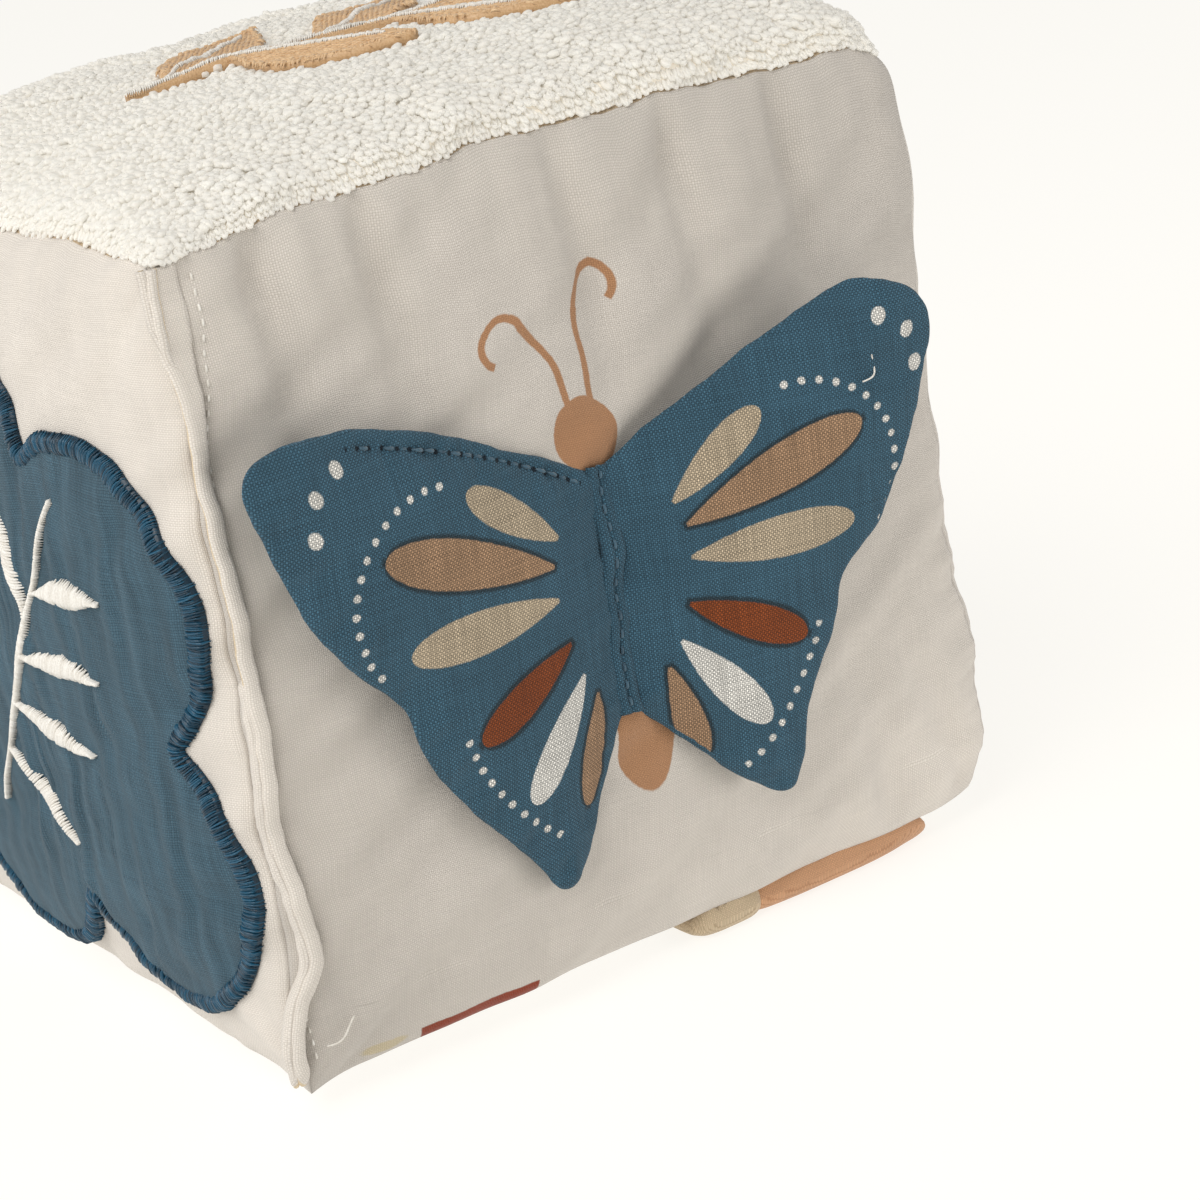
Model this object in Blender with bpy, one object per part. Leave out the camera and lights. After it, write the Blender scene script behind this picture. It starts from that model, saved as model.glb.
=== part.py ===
"""Soft fabric activity block for a baby: a stuffed cube with a butterfly whose wings lift.

The frame has +X to the right along the front face, +Y to the back and +Z up. The origin is the
middle of the flat area that the block rests on, and the butterfly is sewn to the -Y face.
"""

import math

import bmesh
import bpy
from mathutils import Matrix, Vector
from mathutils.geometry import delaunay_2d_cdt, interpolate_bezier

# Block, from seam to seam, and how far each stuffed face swells out of its seams
BLOCK_WIDTH = 0.1228
BLOCK_DEPTH = 0.1200
BLOCK_HEIGHT = 0.1171
FRONT_CROWN = 0.0042
BACK_CROWN = 0.0050
LEFT_CROWN = 0.0055
RIGHT_CROWN = 0.0060
TOP_CROWN = 0.0138
BOTTOM_CROWN = 0.0050
CROWN_POWER = 4
FULL_PILLOW_SHARE = 0.5
TOP_LEAN_SHARE = 0.28
PRESSED_FLAT_SHARE = 0.85
SLOPE_STEP_SHARE = 0.03

# Cloth, seams and gaps
COTTON_THICKNESS = 0.0006
TERRY_THICKNESS = 0.0030
TERRY_HEM_THICKNESS = 0.0008
SEAM_ALLOWANCE = 0.0070
CLEARANCE = 0.0003
LAID_ON_CLEARANCE = 0.0005
PANEL_DIVISIONS = 10
EDGE_SPACING_SHARE = 0.8

# Folded corner seam that stands out of the front left edge
FOLD_WIDTH = 0.0038
FOLD_REACH = 0.0010
FOLD_FLARE = 0.0020
FOLD_FLARE_POWER = 8
FOLD_THICKNESS = 0.0008
FOLD_WAVE = 0.0006
FOLD_WAVE_COUNT = 3
FOLD_END_INSET = 0.0030
FOLD_LEVELS = 22
LIP_REACH = 0.0018

# Flower patch on the left face, its satin stitched border and its embroidery
FLOWER_RADIUS = 0.0560
PATCH_THICKNESS = 0.0006
SATIN_WIDTH = 0.0028
SATIN_THICKNESS = 0.0011
SATIN_SHOULDER_SHARE = 0.7
SATIN_CREST_SHARE = 0.8
SATIN_INNER_SHARE = 0.6
FLOWER_POINTS = 66
FLOWER_CENTRE_SHARES = (0.11, -0.13)
FLOWER_PETAL_SHARES = (
    (0.62, 0.175, 0.425),
    (0.61, -0.505, 0.44),
    (-0.15, -0.57, 0.42),
    (-0.555, -0.045, 0.39),
    (-0.03, 0.45, 0.41),
)
EMBROIDERY_THICKNESS = 0.0008
FLOWER_STEM_WIDTH = 0.0014
FLOWER_STEM_SHARES = ((-0.20, -0.55), (0.52, 0.42))
FLOWER_LEAF_WIDTH = 0.0040
FLOWER_LEAF_SHARES = (
    ((0.06, -0.20), (0.47, -0.28)),
    ((0.18, -0.04), (0.60, -0.04)),
    ((0.31, 0.14), (0.69, 0.20)),
    ((-0.06, -0.36), (0.27, -0.56)),
    ((0.25, 0.06), (0.12, 0.44)),
)
SEED_LENGTH = 0.0084
SEED_WIDTH = 0.0058
SEED_PLACE_SHARES = ((-0.07, 0.02), (0.02, 0.26), (-0.22, -0.22))
SEED_TURNS = (60, 100, 30)

# Leaf sprig embroidered on the terry
SPRIG_LENGTH = 0.0800
SPRIG_STEM_WIDTH = 0.0026
SPRIG_LEAF_WIDTH = 0.0150
SPRIG_THICKNESS = 0.0012
VEIN_WIDTH = 0.0011
VEIN_THICKNESS = 0.0006
VEIN_END_SHARE = 0.14
SPRIG_CENTRE_SHARES = (0.08, -0.18)
SPRIG_TURN = -12
SPRIG_STEM_SHARES = ((-0.50, 0.0), (0.40, 0.0))
SPRIG_LEAF_SHARES = (
    ((-0.42, 0.0), (-0.17, 0.28)),
    ((-0.30, 0.0), (-0.03, -0.27)),
    ((-0.11, 0.0), (0.15, 0.29)),
    ((0.02, 0.0), (0.29, -0.26)),
    ((0.22, 0.0), (0.52, 0.20)),
)

# Butterfly: one sewn seam in the middle and two padded wings
BUTTERFLY_X = -0.0044
WING_SEAM_BOTTOM_Z = 0.0431
WING_SEAM_LENGTH = 0.0369
SEAM_STRIP_WIDTH = 0.0014
SEAM_STRIP_THICKNESS = 0.0009
WING_SPAN = 0.0554
WING_HEIGHT = 0.0760
WING_CLOTH_THICKNESS = 0.0005
WING_HEM = 0.0032
WING_FRONT_RISE = 0.0021
WING_BACK_RISE = 0.0007
WING_PUFF_RUN = 0.0120
WING_MESH_SIZE = 0.0075
LEFT_WING_REST_ANGLE = 7
RIGHT_WING_REST_ANGLE = 17
LEFT_WING_SHARES = (
    (0.33, 0.366), (0.58, 0.443), (0.83, 0.474), (0.97, 0.458), (1.00, 0.390), (0.93, 0.233),
    (0.84, 0.092), (0.665, -0.052), (0.632, -0.142), (0.516, -0.290), (0.363, -0.420),
    (0.280, -0.515), (0.215, -0.520), (0.130, -0.430),
)
RIGHT_WING_SHARES = (
    (0.16, 0.308), (0.41, 0.398), (0.635, 0.471), (0.77, 0.480), (0.89, 0.435), (0.912, 0.350),
    (0.835, 0.176), (0.732, 0.024), (0.610, -0.070), (0.580, -0.145), (0.482, -0.300),
    (0.436, -0.422), (0.390, -0.484), (0.290, -0.450), (0.110, -0.325),
)

# Padded ends of the cloth figure under the block, seen below the front edge
PAD_THICKNESS = 0.0042
PAD_HEM_SHARE = 0.7
PAD_PUFF_RUN = 0.0040
PAD_OVERHANG = 0.0024
PAD_GAP = 0.0006
TAN_PAD_X = 0.0355
TAN_PAD_LENGTH = 0.0400
TAN_PAD_WIDTH = 0.0150
BEIGE_PAD_LENGTH = 0.0086
BEIGE_PAD_WIDTH = 0.0130

# Sewing thread, which rises into a stitch and dips into the cloth between two
STITCH_PITCH = 0.0026
STITCH_LENGTH = 0.0017
THREAD_WIDTH = 0.0007
THREAD_THICKNESS = 0.0005
THREAD_DIP_SHARE = 0.3
TOPSTITCH_INSET = 0.0022
TOPSTITCH_POINTS = 8

# Round outlines
LEAF_STEPS = 7
OVAL_STEPS = 14
PAD_STEPS = 24
CURVE_STEPS = 3
STRIP_STEPS = 8
FINE_MESH_SIZE = 0.0060
PATCH_MESH_SIZE = 0.0095
KEPT_INSET_SHARE = 0.97
SAME_POINT_DISTANCE = 1e-6
SHARP_EDGE_ANGLE = 42


def linear_colour(red, green, blue):
    """Turn a colour of 0 to 255 as a screen shows it into linear values."""
    values = []
    for level in (red, green, blue):
        share = level / 255
        values.append(share / 12.92 if share <= 0.04045 else ((share + 0.055) / 1.055) ** 2.4)
    return (*values, 1.0)


def cloth_material(name, colour, roughness=0.9):
    """Return a new Principled material for a cloth, a thread or the stuffing."""
    material = bpy.data.materials.new(name)
    material.use_nodes = True
    shader = material.node_tree.nodes["Principled BSDF"]
    shader.inputs["Base Color"].default_value = linear_colour(*colour)
    shader.inputs["Roughness"].default_value = roughness
    shader.inputs["Metallic"].default_value = 0.0
    material.diffuse_color = linear_colour(*colour)
    return material


COTTON_COLOUR = (214, 207, 196)
TERRY_COLOUR = (234, 231, 224)
FILLING_COLOUR = (240, 239, 235)
SLATE_COLOUR = (90, 112, 123)
TEAL_COLOUR = (36, 66, 80)
WING_COLOUR = (60, 87, 102)
WHITE_THREAD_COLOUR = (236, 233, 226)
TAN_THREAD_COLOUR = (213, 181, 143)
TAN_CLOTH_COLOUR = (160, 124, 92)
BEIGE_CLOTH_COLOUR = (190, 172, 146)


class Face:
    """One face of the block: its size, its swell and the frame whose +Z points out of it."""

    def __init__(self, across, up, half_width, half_height, distance, crown,
                 fullness_share=FULL_PILLOW_SHARE, lean_share=0.0, pressed_share=1.0):
        """Place the face at a distance from the block's middle, seen from outside."""
        out = across.cross(up)
        middle = Vector((0, 0, BOTTOM_CROWN + BLOCK_HEIGHT / 2)) + out * distance
        self.frame = Matrix((across, up, out)).transposed().to_4x4()
        self.frame.translation = middle
        self.half_width = half_width
        self.half_height = half_height
        self.crown = crown
        self.fullness_share = fullness_share
        self.lean_share = lean_share
        self.pressed_share = pressed_share

    def swell(self, x, y):
        """Height of the cloth over the plane of the seams, 0 on the seams and beyond them."""
        share_x = min(abs(x) / self.half_width, 1)
        share_y = min(abs(y) / self.half_height, 1)
        pillow = ((1 - share_x ** CROWN_POWER) * (1 - share_y ** CROWN_POWER)) ** self.fullness_share
        lean = 1 + self.lean_share * x / self.half_width
        return self.crown * lean * min(pillow / self.pressed_share, 1)

    def under(self, x, y, depth):
        """Return the place at a depth under the cloth, measured square to the cloth at a point."""
        step_x = self.half_width * SLOPE_STEP_SHARE
        step_y = self.half_height * SLOPE_STEP_SHARE
        rise_x = (self.swell(x + step_x, y) - self.swell(x - step_x, y)) / (2 * step_x)
        rise_y = (self.swell(x, y + step_y) - self.swell(x, y - step_y)) / (2 * step_y)
        outward = Vector((-rise_x, -rise_y, 1)).normalized()
        return Vector((x, y, self.swell(x, y))) - outward * depth

    def over(self, height):
        """Return a function for the surface at a height over the cloth."""
        return lambda x, y: self.swell(x, y) + height


RIGHTWARD = Vector((1, 0, 0))
BACKWARD = Vector((0, 1, 0))
UPWARD = Vector((0, 0, 1))
HALF_WIDTH = BLOCK_WIDTH / 2
HALF_DEPTH = BLOCK_DEPTH / 2
HALF_HEIGHT = BLOCK_HEIGHT / 2
MIDDLE_Z = BOTTOM_CROWN + HALF_HEIGHT

FRONT = Face(RIGHTWARD, UPWARD, HALF_WIDTH, HALF_HEIGHT, HALF_DEPTH, FRONT_CROWN)
BACK = Face(-RIGHTWARD, UPWARD, HALF_WIDTH, HALF_HEIGHT, HALF_DEPTH, BACK_CROWN)
LEFT = Face(-BACKWARD, UPWARD, HALF_DEPTH, HALF_HEIGHT, HALF_WIDTH, LEFT_CROWN)
RIGHT = Face(BACKWARD, UPWARD, HALF_DEPTH, HALF_HEIGHT, HALF_WIDTH, RIGHT_CROWN)
TOP = Face(RIGHTWARD, BACKWARD, HALF_WIDTH, HALF_DEPTH, HALF_HEIGHT, TOP_CROWN, lean_share=TOP_LEAN_SHARE)
BOTTOM = Face(RIGHTWARD, -BACKWARD, HALF_WIDTH, HALF_DEPTH, HALF_HEIGHT, BOTTOM_CROWN, fullness_share=1.0,
              pressed_share=PRESSED_FLAT_SHARE)


def add_object(name, mesh, material, frame=None, parent=None):
    """Turn a bmesh into an object with one material, smooth but for its sharp edges."""
    data = bpy.data.meshes.new(name)
    mesh.to_mesh(data)
    mesh.free()
    data.shade_smooth()
    data.set_sharp_from_angle(angle=math.radians(SHARP_EDGE_ANGLE))
    data.materials.append(material)
    result = bpy.data.objects.new(name, data)
    bpy.context.scene.collection.objects.link(result)
    if parent:
        result.parent = parent
    if frame:
        result.matrix_local = frame
    return result


def spread_share(share):
    """Move the lines of an even grid from -1 to 1 closer together near both ends."""
    quarter_turn = math.pi / 2 * EDGE_SPACING_SHARE
    return math.sin(quarter_turn * share) / math.sin(quarter_turn)


def panel(name, face, thickness, colour, hem_thickness=None):
    """Add one sewn panel: a swollen sheet whose seam allowance turns in along the mitre."""
    mesh = bmesh.new()
    bmesh.ops.create_grid(mesh, x_segments=PANEL_DIVISIONS, y_segments=PANEL_DIVISIONS, size=1)
    rim = [edge for edge in mesh.edges if edge.is_boundary]
    turned_in = bmesh.ops.extrude_edge_only(mesh, edges=rim)["geom"]
    hem = {item for item in turned_in if isinstance(item, bmesh.types.BMVert)}
    inset = CLEARANCE / math.sqrt(2)
    depth = SEAM_ALLOWANCE / math.sqrt(2)
    inner = []
    for vert in mesh.verts:
        share_x, share_y = spread_share(vert.co.x), spread_share(vert.co.y)
        in_hem = vert in hem
        if not in_hem and max(abs(vert.co.x), abs(vert.co.y)) < 1 - SAME_POINT_DISTANCE:
            inner.append(vert)
        setback = inset + depth if in_hem else inset
        x = share_x * (face.half_width - setback)
        y = share_y * (face.half_height - setback)
        vert.co = (x, y, -depth if in_hem else 0)
    for vert in inner:
        vert.co.z = face.swell(vert.co.x, vert.co.y)
    mesh.verts.index_update()
    inner_indices = [vert.index for vert in inner]
    result = add_object(name, mesh, cloth_material(name, colour), face.frame)
    solid = result.modifiers.new("Thickness", "SOLIDIFY")
    solid.thickness = thickness
    solid.offset = -1
    solid.use_even_offset = True
    solid.use_quality_normals = True
    if hem_thickness:
        pile = result.vertex_groups.new(name="pile")
        pile.add(inner_indices, 1.0, "REPLACE")
        solid.vertex_group = pile.name
        solid.thickness_vertex_group = hem_thickness / thickness
    return result


def filling():
    """Add the block of stuffing, which follows the panels and leaves their seam allowances room."""
    faces = ((RIGHT, BACK, TOP), (LEFT, FRONT, BOTTOM))
    halves = (HALF_WIDTH, HALF_DEPTH, HALF_HEIGHT)
    rim_depth = (SEAM_ALLOWANCE + 2 * COTTON_THICKNESS) / math.sqrt(2) + 2 * CLEARANCE
    mesh = bmesh.new()
    bmesh.ops.create_cube(mesh, size=2)
    bmesh.ops.subdivide_edges(mesh, edges=mesh.edges, cuts=PANEL_DIVISIONS - 1, use_grid_fill=True)
    for vert in mesh.verts:
        point = Vector((0, 0, 0))
        outer_axes = []
        for axis, half in enumerate(halves):
            if abs(vert.co[axis]) > 1 - SAME_POINT_DISTANCE:
                outer_axes.append(axis)
                point[axis] = math.copysign(half - rim_depth, vert.co[axis])
            else:
                point[axis] = spread_share(vert.co[axis]) * half
        point.z += MIDDLE_Z
        if len(outer_axes) == 1:
            axis = outer_axes[0]
            face = faces[0 if vert.co[axis] > 0 else 1][axis]
            local = face.frame.inverted() @ point
            cloth = TERRY_THICKNESS if face is TOP else COTTON_THICKNESS
            point = face.frame @ face.under(local.x, local.y, cloth + LAID_ON_CLEARANCE)
        vert.co = point
    return add_object("fibre_filling", mesh, cloth_material("fibre_filling", FILLING_COLOUR, 1.0))


def curve_through(points, steps):
    """Return the points of a smooth open curve through the given ones."""
    knots = [Vector(point) for point in points]
    curve = []
    for index, (start, end) in enumerate(zip(knots, knots[1:])):
        before = knots[max(index - 1, 0)]
        after = knots[min(index + 2, len(knots) - 1)]
        bend_out = start + (end - before) / 6
        bend_in = end - (after - start) / 6
        curve.extend(interpolate_bezier(start, bend_out, bend_in, end, steps + 1)[:-1])
    return [*curve, knots[-1]]


def leaf_outline(base, tip, width, steps=LEAF_STEPS):
    """Return a pointed leaf between two places, as a closed outline."""
    base, tip = Vector(base), Vector(tip)
    along = tip - base
    aside = along.orthogonal().normalized() * width / 2
    shares = [step / steps for step in range(steps + 1)]
    upper = [base + along * share + aside * math.sin(math.pi * share) for share in shares]
    lower = [base + along * share - aside * math.sin(math.pi * share) for share in shares[-2:0:-1]]
    return upper + lower


def oval_outline(centre, length, width, turn=0, steps=OVAL_STEPS):
    """Return an oval turned by an angle in degrees, as a closed outline."""
    rotation = Matrix.Rotation(math.radians(turn), 2)
    outline = []
    for step in range(steps):
        angle = math.tau * step / steps
        spoke = Vector((length / 2 * math.cos(angle), width / 2 * math.sin(angle)))
        outline.append(Vector(centre) + rotation @ spoke)
    return outline


def outward_normals(outline):
    """Return the outward direction at each point of an outline that runs counterclockwise."""
    normals = []
    for before, after in zip([outline[-1], *outline], [*outline[1:], outline[0]]):
        along = after - before
        normals.append(Vector((along.y, -along.x)).normalized())
    return normals


def drawn_in(outline, inset):
    """Return an outline with every point moved inwards by the same distance."""
    return [point - normal * inset for point, normal in zip(outline, outward_normals(outline))]


def rim_distance(point, outline):
    """Distance from a point to the nearest place on a closed outline."""
    nearest = math.inf
    for start, end in zip(outline, [*outline[1:], outline[0]]):
        along = end - start
        share = max(0, min(1, (point - start).dot(along) / along.length_squared))
        nearest = min(nearest, (point - start - along * share).length)
    return nearest


def hemmed(outline, inset):
    """Return an outline drawn in by an inset, without the places where it would cross itself."""
    least = inset * KEPT_INSET_SHARE
    return [point for point in drawn_in(outline, inset) if rim_distance(point, outline) > least]


def is_inside(point, outline):
    """Tell whether a point lies inside a closed outline."""
    inside = False
    for start, end in zip(outline, [*outline[1:], outline[0]]):
        if (start.y > point.y) != (end.y > point.y):
            crossing = start.x + (point.y - start.y) / (end.y - start.y) * (end.x - start.x)
            inside ^= point.x < crossing
    return inside


def points_inside(outline, spacing):
    """Return the points of a triangular grid round the origin that lie well inside an outline."""
    row_height = spacing * math.sqrt(3) / 2
    rows = [point.y / row_height for point in outline]
    columns = [point.x / spacing for point in outline]
    found = []
    for row in range(math.floor(min(rows)), math.ceil(max(rows)) + 1):
        shift = 0.5 * (row % 2)
        for column in range(math.floor(min(columns)) - 1, math.ceil(max(columns)) + 1):
            point = Vector(((column + shift) * spacing, row * row_height))
            if is_inside(point, outline) and rim_distance(point, outline) > spacing / 2:
                found.append(point)
    return found


def slab(name, outlines, mesh_size, top, bottom, material, frame=None, parent=None):
    """Add one closed solid over outlines that run into each other, between two heights of a place."""
    flat_points = []
    borders = []
    for outline in outlines:
        borders.append(list(range(len(flat_points), len(flat_points) + len(outline))))
        flat_points += outline
    for outline in outlines:
        flat_points += points_inside(outline, mesh_size)
    places, _, triangles, *_ = delaunay_2d_cdt(flat_points, [], borders, 1, SAME_POINT_DISTANCE)
    mesh = bmesh.new()
    upper = [mesh.verts.new((x, y, top(x, y))) for x, y in places]
    lower = [mesh.verts.new((x, y, bottom(x, y))) for x, y in places]
    sides = set()
    for triangle in triangles:
        mesh.faces.new([upper[index] for index in triangle])
        mesh.faces.new([lower[index] for index in reversed(triangle)])
        sides.update(zip(triangle, [*triangle[1:], triangle[0]]))
    for start, end in sides:
        if (end, start) not in sides:
            mesh.faces.new((upper[end], upper[start], lower[start], lower[end]))
    bmesh.ops.recalc_face_normals(mesh, faces=mesh.faces)
    return add_object(name, mesh, material, frame, parent)


def band(name, outline, profile, surface, material, frame):
    """Add a closed band along an outline; its profile lists outward places and heights."""
    mesh = bmesh.new()
    rings = []
    for point, outward in zip(outline, outward_normals(outline)):
        places = [(point + outward * shift, height) for shift, height in profile]
        rings.append([mesh.verts.new((*place, surface(*place) + height)) for place, height in places])
    join_rings(mesh, [*rings, rings[0]])
    bmesh.ops.recalc_face_normals(mesh, faces=mesh.faces)
    return add_object(name, mesh, material, frame)


def join_rings(mesh, rings):
    """Join each ring of points to the one after it with a row of faces."""
    for ring, following in zip(rings, rings[1:]):
        for side in range(len(ring)):
            other = (side + 1) % len(ring)
            mesh.faces.new((ring[side], ring[other], following[other], following[side]))


def laid_on_face(name, face, outlines, height, thickness, colour, mesh_size=FINE_MESH_SIZE):
    """Add a flat piece that follows a face of the block, from a height over its cloth."""
    slab(name, outlines, mesh_size, face.over(height + thickness), face.over(height),
         cloth_material(name, colour), face.frame)


def thread(name, line, surface, colour, frame=None, parent=None):
    """Add a sewing thread along a line, as one ridge that rises at each stitch."""
    mesh = bmesh.new()
    lengths = [(end - start).length for start, end in zip(line, line[1:])]
    dip = (STITCH_PITCH - STITCH_LENGTH) / 2
    rings = []
    for stitch in range(int(sum(lengths) / STITCH_PITCH)):
        for inside_stitch, share in ((0, THREAD_DIP_SHARE), (dip, 1), (dip + STITCH_LENGTH, 1)):
            middle, along = place_along(line, lengths, stitch * STITCH_PITCH + inside_stitch)
            aside = Vector((-along.y, along.x)) * THREAD_WIDTH / 2 * share
            rings.append([
                mesh.verts.new((*(middle - aside), surface(*(middle - aside)))),
                mesh.verts.new((*(middle + aside), surface(*(middle + aside)))),
                mesh.verts.new((*middle, surface(*middle) + THREAD_THICKNESS * share)),
            ])
    join_rings(mesh, rings)
    mesh.faces.new(list(reversed(rings[0])))
    mesh.faces.new(rings[-1])
    bmesh.ops.recalc_face_normals(mesh, faces=mesh.faces)
    return add_object(name, mesh, cloth_material(name, colour), frame, parent)


def place_along(line, lengths, distance):
    """Return the place at a distance along a line, and the line's direction there."""
    for start, end, length in zip(line, line[1:], lengths):
        if distance <= length:
            break
        distance -= length
    along = (end - start).normalized()
    return start + along * distance, along


def panels():
    """Add the six sewn panels of the cover."""
    panel("top_terry_panel", TOP, TERRY_THICKNESS, TERRY_COLOUR, TERRY_HEM_THICKNESS)
    panel("front_panel", FRONT, COTTON_THICKNESS, COTTON_COLOUR)
    panel("left_panel", LEFT, COTTON_THICKNESS, COTTON_COLOUR)
    panel("right_panel", RIGHT, COTTON_THICKNESS, COTTON_COLOUR)
    panel("back_panel", BACK, COTTON_THICKNESS, COTTON_COLOUR)
    panel("bottom_panel", BOTTOM, COTTON_THICKNESS, COTTON_COLOUR)


def upright_strip(name, section, colour):
    """Add a strip that runs up the front left edge; section gives its outline at a height share."""
    mesh = bmesh.new()
    low = BOTTOM_CROWN + FOLD_END_INSET
    high = BOTTOM_CROWN + BLOCK_HEIGHT - FOLD_END_INSET
    rings = []
    for level in range(FOLD_LEVELS + 1):
        share = level / FOLD_LEVELS
        z = low + (high - low) * share
        rings.append([mesh.verts.new((x, y, z)) for x, y in section(share, z)])
    join_rings(mesh, rings)
    mesh.faces.new(list(reversed(rings[0])))
    mesh.faces.new(rings[-1])
    bmesh.ops.recalc_face_normals(mesh, faces=mesh.faces)
    return add_object(name, mesh, cloth_material(name, colour))


def fold_wave(share):
    """How far the folded corner seam waves and flares sideways, at a share of its height."""
    wave = FOLD_WAVE * math.sin(math.tau * FOLD_WAVE_COUNT * share) * math.sin(math.pi * share)
    return wave + FOLD_FLARE * share ** FOLD_FLARE_POWER


def front_clearance(from_edge, z):
    """Y just in front of the front panel, at a distance from its left seam."""
    return -HALF_DEPTH - FRONT.swell(from_edge - HALF_WIDTH, z - MIDDLE_Z) - LAID_ON_CLEARANCE


def fold_front_y(from_edge, share, z):
    """Y of the fold's front surface, at a distance from the corner and a share of its height."""
    width = FOLD_WIDTH + fold_wave(share)
    corner_y = front_clearance(0, z) - FOLD_THICKNESS * 2
    root_y = front_clearance(width, z) - FOLD_THICKNESS / 2
    return corner_y + (root_y - corner_y) * from_edge / width


def fold_section(share, z):
    """Outline of the sewn-down fold: flat on the front panel, its free edge past the corner."""
    width = FOLD_WIDTH + fold_wave(share)
    reach = FOLD_REACH + fold_wave(share)
    corner_y = fold_front_y(0, share, z)
    edge = -HALF_WIDTH
    return [
        (edge + width, front_clearance(width, z)),
        (edge, corner_y + FOLD_THICKNESS),
        (edge - reach, corner_y + FOLD_THICKNESS - reach / 2),
        (edge - reach, corner_y - reach / 2),
        (edge, corner_y),
        (edge + width, fold_front_y(width, share, z)),
    ]


def lip_section(share, z):
    """Outline of the narrow second layer, just behind the fold's free edge."""
    reach = LIP_REACH + fold_wave(share)
    edge = -HALF_WIDTH - LAID_ON_CLEARANCE
    corner_y = fold_front_y(0, share, z) + FOLD_THICKNESS * 2
    return [
        (edge, corner_y),
        (edge - reach, corner_y - reach / 2),
        (edge - reach, corner_y - reach / 2 + FOLD_THICKNESS),
        (edge, corner_y + FOLD_THICKNESS),
    ]


def corner_fold():
    """Add the folded corner seam, its second layer and the thread that holds it."""
    upright_strip("corner_fold", fold_section, COTTON_COLOUR)
    upright_strip("corner_fold_lip", lip_section, COTTON_COLOUR)
    stitch_x = -HALF_WIDTH + FOLD_WIDTH - FOLD_WAVE - THREAD_WIDTH
    half_length = HALF_HEIGHT - FOLD_END_INSET * 2
    line = [Vector((stitch_x, -half_length)), Vector((stitch_x, half_length))]

    def fold_height(x, y):
        share = (y + HALF_HEIGHT - FOLD_END_INSET) / (BLOCK_HEIGHT - FOLD_END_INSET * 2)
        return -HALF_DEPTH - fold_front_y(x + HALF_WIDTH, share, y + MIDDLE_Z) + CLEARANCE

    thread("corner_fold_thread", line, fold_height, WHITE_THREAD_COLOUR, FRONT.frame)


def flower_radius(angle):
    """Distance from the flower's middle to the far rim of the petal that lies in a direction."""
    farthest = 0
    centre = Vector(FLOWER_CENTRE_SHARES)
    for petal_x, petal_y, petal_radius in FLOWER_PETAL_SHARES:
        to_petal = Vector((petal_x, petal_y)) - centre
        turn = angle - math.atan2(to_petal.y, to_petal.x)
        aside = to_petal.length * math.sin(turn)
        if abs(aside) < petal_radius:
            chord = math.sqrt(petal_radius ** 2 - aside ** 2)
            farthest = max(farthest, to_petal.length * math.cos(turn) + chord)
    return farthest * FLOWER_RADIUS


def flower_outline():
    """Return the scalloped outline of the flower."""
    centre = Vector(FLOWER_CENTRE_SHARES) * FLOWER_RADIUS
    outline = []
    for index in range(FLOWER_POINTS):
        angle = math.tau * index / FLOWER_POINTS
        outline.append(centre + Vector((math.cos(angle), math.sin(angle))) * flower_radius(angle))
    return outline


def flower():
    """Add the flower patch of the left face with its border and its embroidery."""
    half_satin = SATIN_WIDTH / 2
    patch_top = LAID_ON_CLEARANCE + PATCH_THICKNESS
    over_patch = patch_top + CLEARANCE
    middle_line = drawn_in(flower_outline(), half_satin)
    patch_edge = -2 * CLEARANCE
    patch_outline = drawn_in(middle_line, -patch_edge)
    laid_on_face("flower_patch", LEFT, [patch_outline], LAID_ON_CLEARANCE, PATCH_THICKNESS, SLATE_COLOUR,
                 PATCH_MESH_SIZE)
    profile = (
        (half_satin, LAID_ON_CLEARANCE),
        (half_satin * SATIN_SHOULDER_SHARE, SATIN_THICKNESS),
        (0, over_patch + SATIN_THICKNESS * SATIN_CREST_SHARE),
        (-half_satin * SATIN_SHOULDER_SHARE, over_patch + SATIN_THICKNESS * SATIN_INNER_SHARE),
        (-half_satin, over_patch),
        (patch_edge + CLEARANCE, over_patch),
        (patch_edge + CLEARANCE, LAID_ON_CLEARANCE),
    )
    band("flower_satin_border", middle_line, profile, LEFT.swell,
         cloth_material("flower_satin_border", TEAL_COLOUR), LEFT.frame)
    flower_embroidery(over_patch)


def flower_embroidery(height):
    """Add the white sprig and the tan seeds stitched on the flower patch, from a height over the panel."""
    base, tip = (Vector(share) * FLOWER_RADIUS for share in FLOWER_STEM_SHARES)
    outlines = [leaf_outline(base, tip, FLOWER_STEM_WIDTH, STRIP_STEPS)]
    for base_share, tip_share in FLOWER_LEAF_SHARES:
        base, tip = Vector(base_share) * FLOWER_RADIUS, Vector(tip_share) * FLOWER_RADIUS
        outlines.append(leaf_outline(base, tip, FLOWER_LEAF_WIDTH))
    laid_on_face("flower_sprig_embroidery", LEFT, outlines, height, EMBROIDERY_THICKNESS, WHITE_THREAD_COLOUR)
    for number, (place_share, turn) in enumerate(zip(SEED_PLACE_SHARES, SEED_TURNS), start=1):
        middle = Vector(place_share) * FLOWER_RADIUS
        outline = oval_outline(middle, SEED_LENGTH, SEED_WIDTH, turn)
        name = f"flower_seed_embroidery_{number}"
        laid_on_face(name, LEFT, [outline], height, EMBROIDERY_THICKNESS, TAN_THREAD_COLOUR)


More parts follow.
